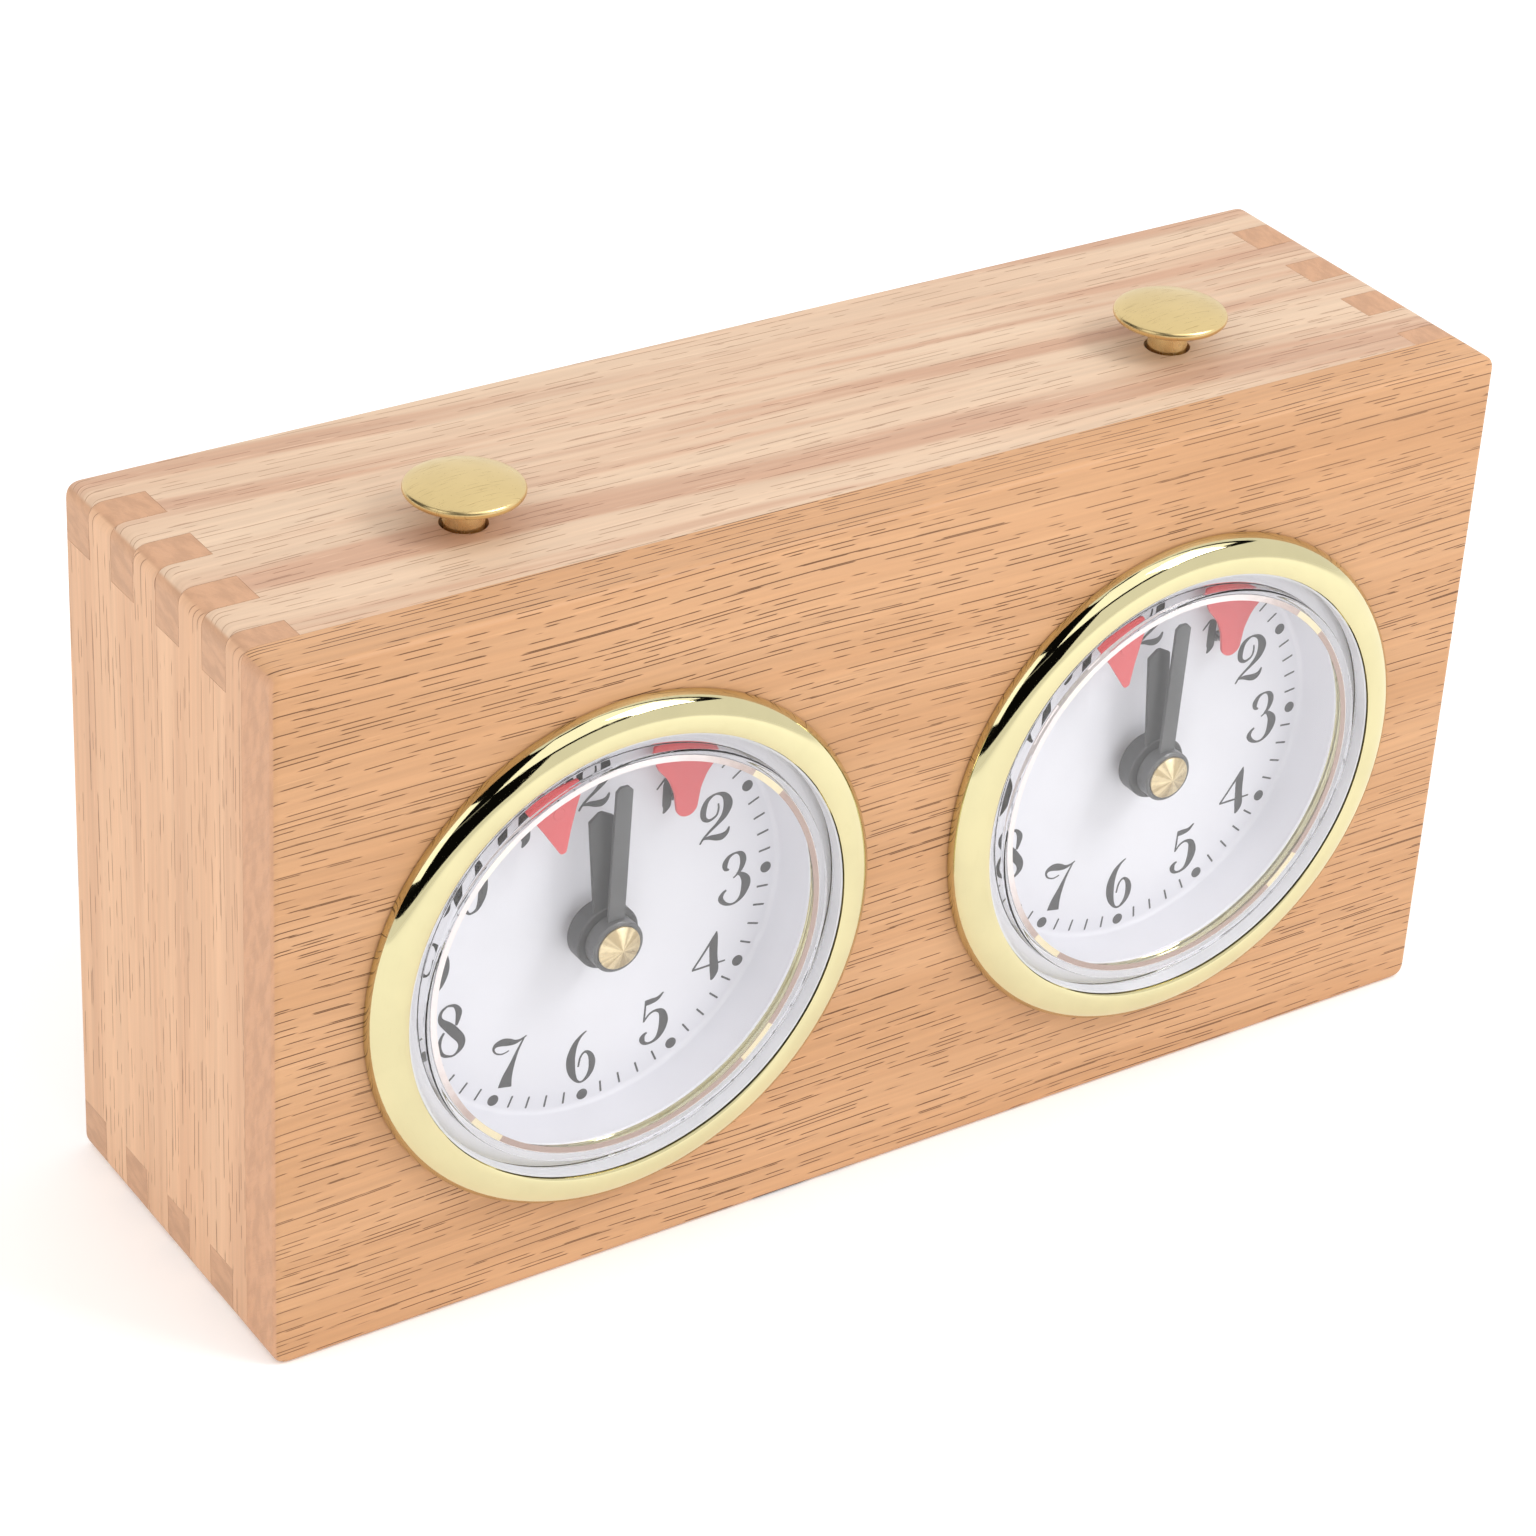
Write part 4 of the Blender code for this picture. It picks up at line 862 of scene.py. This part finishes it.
def build_hands(side, black, dark, brass):
    minute = hand(27.0, 1.4, 0.75, 0.65, MINUTE_HUB_RADIUS, MINUTE_HOLE_RADIUS, 2.0, 2.6)
    minute = join(turn(minute, MINUTE_HAND_ANGLE, "Y"), boss(MINUTE_HUB_RADIUS, 1.0, 3.7, MINUTE_HOLE_RADIUS))
    hour = hand(22.2, 2.05, 1.15, 0.35, HOUR_HUB_RADIUS, HOUR_HOLE_RADIUS, 4.2, 4.8)
    hour = join(turn(hour, HOUR_HAND_ANGLE, "Y"), boss(HOUR_HUB_RADIUS, 4.0, 7.2, HOUR_HOLE_RADIUS))
    for name, bm, lacquer in (("minute", minute, black), ("hour", hour, dark)):
        dress(piece(f"{side}_{name}_hand_fine", bm, lacquer, dial_at(side)), f"{side}_{name}", "hand_black",
              f"{side}_{name}_hand")
    dome = [(0, -0.3), (0.12, -0.27), (CAP_RADIUS - 0.2, 0.66), (CAP_RADIUS - 0.05, 0.74), (CAP_RADIUS, 0.86),
            (CAP_RADIUS, 0.96), (0, 0.96)]
    cap = piece(f"{side}_hand_cap_fine", turned(dome, 96), brass, dial_at(side))
    dress(cap, f"{side}_minute", "cap_brass", f"{side}_hand_cap")


def build_flags(side, red):
    outline = [(-5.2, 1.2), (-4.2, 2.9), (3.4, 4.4), (3.9, 3.6), (2.9, 0.1), (2.1, -3.4), (1.5, -6.9),
               (0.6, -7.2), (-2.7, -2.2)]
    plate = soften(slab(fillet(outline, 0.5), 2.9, 3.3), 0.1, 2)
    pin = turned([(0, 2.75), (0.9, 2.8), (1.0, 2.9), (0.6, 3.3), (0.6, 15.2), (0, 15.2)], 24)
    flag = piece(f"{side}_fall_flag_fine", join(plate, pin), red, dial_at(side, FLAG_AT))
    dress(flag, f"{side}_flag", "flag_red", f"{side}_fall_flag")

    bell = arc(1.9, 180, 360, 20)
    bell += [(2.3, 2.6), (3.4, 5.2), (5.6, 7.4), (4.6, 8.9), (1.2, 10.6)]
    bell += [(-3.0, 11.5), (-5.9, 10.9), (-5.8, 8.0), (-3.4, 5.2), (-2.3, 2.6)]
    radii = [0.0] * 21 + [6.0, 6.0, 0.5, 2.0, 4.0, 4.0, 0.5, 6.0, 6.0, 6.0]
    bell = fillet(bell, radii, 6)
    plate = soften(slab(bell, 5.65, 6.2), 0.1, 2)
    indicator = piece(f"{side}_running_indicator_fine", plate, red, dial_at(side, INDICATOR_AT))
    dress(indicator, f"{side}_pallet", "flag_red", f"{side}_running_indicator")


# ---------------------------------------------------------------- what stays as the CAD made it

def finish_nodes(finishes):
    """Gives every CAD node that stays in view its finish, by the first matching word in its name."""
    for name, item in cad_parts.items():
        if item.hide_render:
            continue
        material = next(material for word, material in finishes if word in name)
        item.data.materials.clear()
        item.data.materials.append(material)


# ---------------------------------------------------------------- studio

CAMERA_AZIMUTH, CAMERA_ELEVATION, CAMERA_ROLL = -34.9, 31.18, 3.52
CAMERA_TARGET = Vector((-4.14, 0.0, 56.56)) * MM
CAMERA_DISTANCE, CAMERA_LENS = 0.7068, 105.1


def direction(azimuth, elevation):
    """Unit vector from the object towards that side; azimuth 0 is the front and 90 the right."""
    a, e = math.radians(azimuth), math.radians(elevation)
    return Vector((math.sin(a) * math.cos(e), -math.cos(a) * math.cos(e), math.sin(e)))


def add_camera():
    back = direction(CAMERA_AZIMUTH, CAMERA_ELEVATION)
    flat = Vector((0, 0, 1)).cross(back).normalized()
    up = back.cross(flat)
    roll = math.radians(CAMERA_ROLL)
    right = flat * math.cos(roll) + up * math.sin(roll)
    up = up * math.cos(roll) - flat * math.sin(roll)
    data = bpy.data.cameras.new("camera")
    data.lens, data.sensor_width = CAMERA_LENS, 36.0
    data.clip_start, data.clip_end = 0.01, 20.0
    camera = bpy.data.objects.new("camera", data)
    camera.matrix_world = Matrix.Translation(CAMERA_TARGET + back * CAMERA_DISTANCE) @ Matrix(
        (right, up, back)).transposed().to_4x4()
    bpy.context.scene.collection.objects.link(camera)
    bpy.context.scene.camera = camera


def aim(item, azimuth, elevation, distance, target=Vector((0, 0, 0.06))):
    back = direction(azimuth, elevation)
    item.location = target + back * distance
    item.rotation_euler = back.to_track_quat("Z", "Y").to_euler()


def add_light(name, azimuth, elevation, distance, size, power, colour=(1.0, 1.0, 1.0)):
    data = bpy.data.lights.new(name, "AREA")
    data.shape, data.size, data.size_y = "RECTANGLE", size[0], size[1]
    data.energy, data.color = power, colour
    light = bpy.data.objects.new(name, data)
    bpy.context.scene.collection.objects.link(light)
    aim(light, azimuth, elevation, distance)
    light.visible_camera = False
    return light


def add_card(name, azimuths, elevations, distance, grey):
    """Curved card that only shows in reflections, as studio flags and reflectors do."""
    steps = 16
    bm = bmesh.new()
    rows = []
    for j in range(steps + 1):
        elevation = elevations[0] + (elevations[1] - elevations[0]) * j / steps
        row = []
        for i in range(steps + 1):
            azimuth = azimuths[0] + (azimuths[1] - azimuths[0]) * i / steps
            row.append(bm.verts.new(direction(azimuth, elevation) * distance))
        rows.append(row)
    for low, high in zip(rows, rows[1:]):
        for i in range(steps):
            bm.faces.new((low[i], low[i + 1], high[i + 1], high[i]))
    mesh = bpy.data.meshes.new(name)
    bm.to_mesh(mesh)
    bm.free()
    material = bpy.data.materials.new(name)
    material.use_nodes = True
    nodes = material.node_tree.nodes
    nodes.clear()
    glow, output = nodes.new("ShaderNodeEmission"), nodes.new("ShaderNodeOutputMaterial")
    glow.inputs[0].default_value = (grey, grey, grey, 1.0)
    material.node_tree.links.new(glow.outputs[0], output.inputs[0])
    mesh.materials.append(material)
    card = bpy.data.objects.new(name, mesh)
    bpy.context.scene.collection.objects.link(card)
    card.visible_camera = card.visible_diffuse = card.visible_shadow = False
    card.visible_transmission = card.visible_volume_scatter = False
    return card


def add_floor():
    half = 6.0
    bm = bmesh.new()
    bmesh.ops.create_grid(bm, x_segments=1, y_segments=1, size=half)
    mesh = bpy.data.meshes.new("floor")
    bm.to_mesh(mesh)
    bm.free()
    tree = Tree("floor_paper")
    tree.set(Base_Color=(0.95, 0.95, 0.95), Roughness=0.9, Specular_IOR_Level=0.0,
             Emission_Color=(1.0, 1.0, 1.0), Emission_Strength=0.1)
    mesh.materials.append(tree.material)
    floor = bpy.data.objects.new("floor", mesh)
    bpy.context.scene.collection.objects.link(floor)


def add_world():
    world = bpy.data.worlds.new("studio")
    world.use_nodes = True
    background = world.node_tree.nodes["Background"]
    background.inputs[0].default_value = (1.0, 1.0, 1.0, 1.0)
    background.inputs[1].default_value = 1.0
    bpy.context.scene.world = world


def build_studio():
    add_floor()
    add_world()
    add_light("key", 42, 45, 1.3, (0.5, 0.5), 6.0)
    add_light("fill", -80, 35, 1.6, (0.9, 0.9), 4.0)
    add_card("dark_screen", (-150, 2), (8, 56), 2.3, 0.004)
    add_card("dark_head", (-100, -20), (55, 76), 2.25, 0.004)
    add_card("softbox_frame", (-40, 78), (33, 86), 2.2, 0.004)
    add_card("softbox", (-27, 70), (39, 80), 2.1, 1.5)
    add_card("stand", (-120, -28), (36, 37.5), 2.1, 0.4)
    bpy.context.scene.view_settings.view_transform = "Standard"
    add_camera()


def build():
    front_wood = wood("beech_front", "XZY", (0.63, 0.35, 0.18), (0.575, 0.305, 0.147), (0.515, 0.255, 0.116),
                      (0.11, 0.042, 0.012), (0.60, 0.325, 0.185), 0.18, 0.9, 0.42)
    top_wood = wood("beech_top", "XYZ", (0.70, 0.515, 0.365), (0.645, 0.445, 0.305), (0.545, 0.32, 0.21),
                    (0.22, 0.095, 0.045), (0.58, 0.33, 0.195), 0.9, 0.6, 0.46, -1.0, 0.05, 0.05)
    side_woods = {side: wood(f"beech_{side}", "ZYX", (0.73, 0.45, 0.275), (0.67, 0.395, 0.235),
                             (0.57, 0.315, 0.185), (0.20, 0.085, 0.04), (0.58, 0.325, 0.19), 0.4, 0.75, 0.46,
                             tilt, 0.0, 0.06)
                  for side, tilt in (("left", 1.0), ("right", -1.0))}
    plywood = wood("birch_plywood", "XZY", (0.62, 0.44, 0.27), (0.55, 0.37, 0.21), (0.48, 0.30, 0.16),
                   (0.25, 0.12, 0.05), (0.42, 0.26, 0.14), 0.6, 0.4, 0.55)
    satin_brass = metal("satin_brass", (0.78, 0.60, 0.29), (0.46, 0.31, 0.13), 0.30, 0.25, 0.7, 0.2)
    # brighter brass for the button stems: a painted warm reflection of the wood
    stem_brass_painted_reflection = metal("stem_brass_painted_reflection", (0.98, 0.82, 0.46), (0.7, 0.5, 0.25), 0.25, 0.1, 0.2, 0.1)
    # the cap's darker colour serves both its wear and the painted shade of its fan sectors
    cap_brass = turned_metal("cap_brass", (0.88, 0.73, 0.46), (0.46, 0.33, 0.16), 0.2, 0.16)
    movement_brass = metal("movement_brass", (0.72, 0.52, 0.24), (0.35, 0.22, 0.08), 0.3, 0.6, 0.4, 0.1)
    gold = metal("polished_gold", (0.70, 0.635, 0.375), (0.55, 0.46, 0.2), 0.05, 0.0, 0.05, 0.35)
    steel = metal("bright_steel", (0.60, 0.60, 0.61), (0.25, 0.25, 0.26), 0.25, 0.6, 0.4, 0.1)
    blued = metal("blued_steel", (0.10, 0.12, 0.20), (0.05, 0.05, 0.08), 0.3, 0.4, 0.3, 0.1)
    clear = clear_plastic("clear_plastic")
    white = painted("dial_enamel", (0.72, 0.715, 0.76), 0.5, 0.03)
    ink = painted("dial_ink", (0.06, 0.06, 0.063), 0.5, 0.15)
    black = painted("hand_lacquer", (0.085, 0.085, 0.088), 0.35, 0.1, 0.3)
    dark = painted("hour_hand_lacquer", (0.048, 0.048, 0.05), 0.4, 0.1, 0.3)
    red = painted("flag_lacquer", (0.66, 0.09, 0.10), 0.35, 0.06)
    # the seal and tab colours fade to their second colour towards the upper left, as painted light and shade
    seat = seat_paint("lens_seal", (0.38, 0.265, 0.225), (0.80, 0.72, 0.71))
    liner = painted("bezel_liner", (0.74, 0.74, 0.76), 0.4, 0.1)
    tab = seat_paint("lens_tab", (0.72, 0.62, 0.40), (0.82, 0.77, 0.70))

    build_boards(front_wood, top_wood, side_woods)
    build_back(plywood, steel)
    build_buttons(satin_brass, stem_brass_painted_reflection)
    build_knobs(steel, satin_brass)
    for side in SIDES:
        build_bezel(side, gold, liner)
        build_lens(side, clear)
        build_dial(side, white, seat, tab)
        build_print(side, ink)
        build_hands(side, black, dark, cap_brass)
        build_flags(side, red)
    finish_nodes([("batten", side_woods["left"]), ("mainspring", blued), ("bracket", steel), ("pin", steel),
                  ("pallet", steel), ("", movement_brass)])
    build_studio()


build()
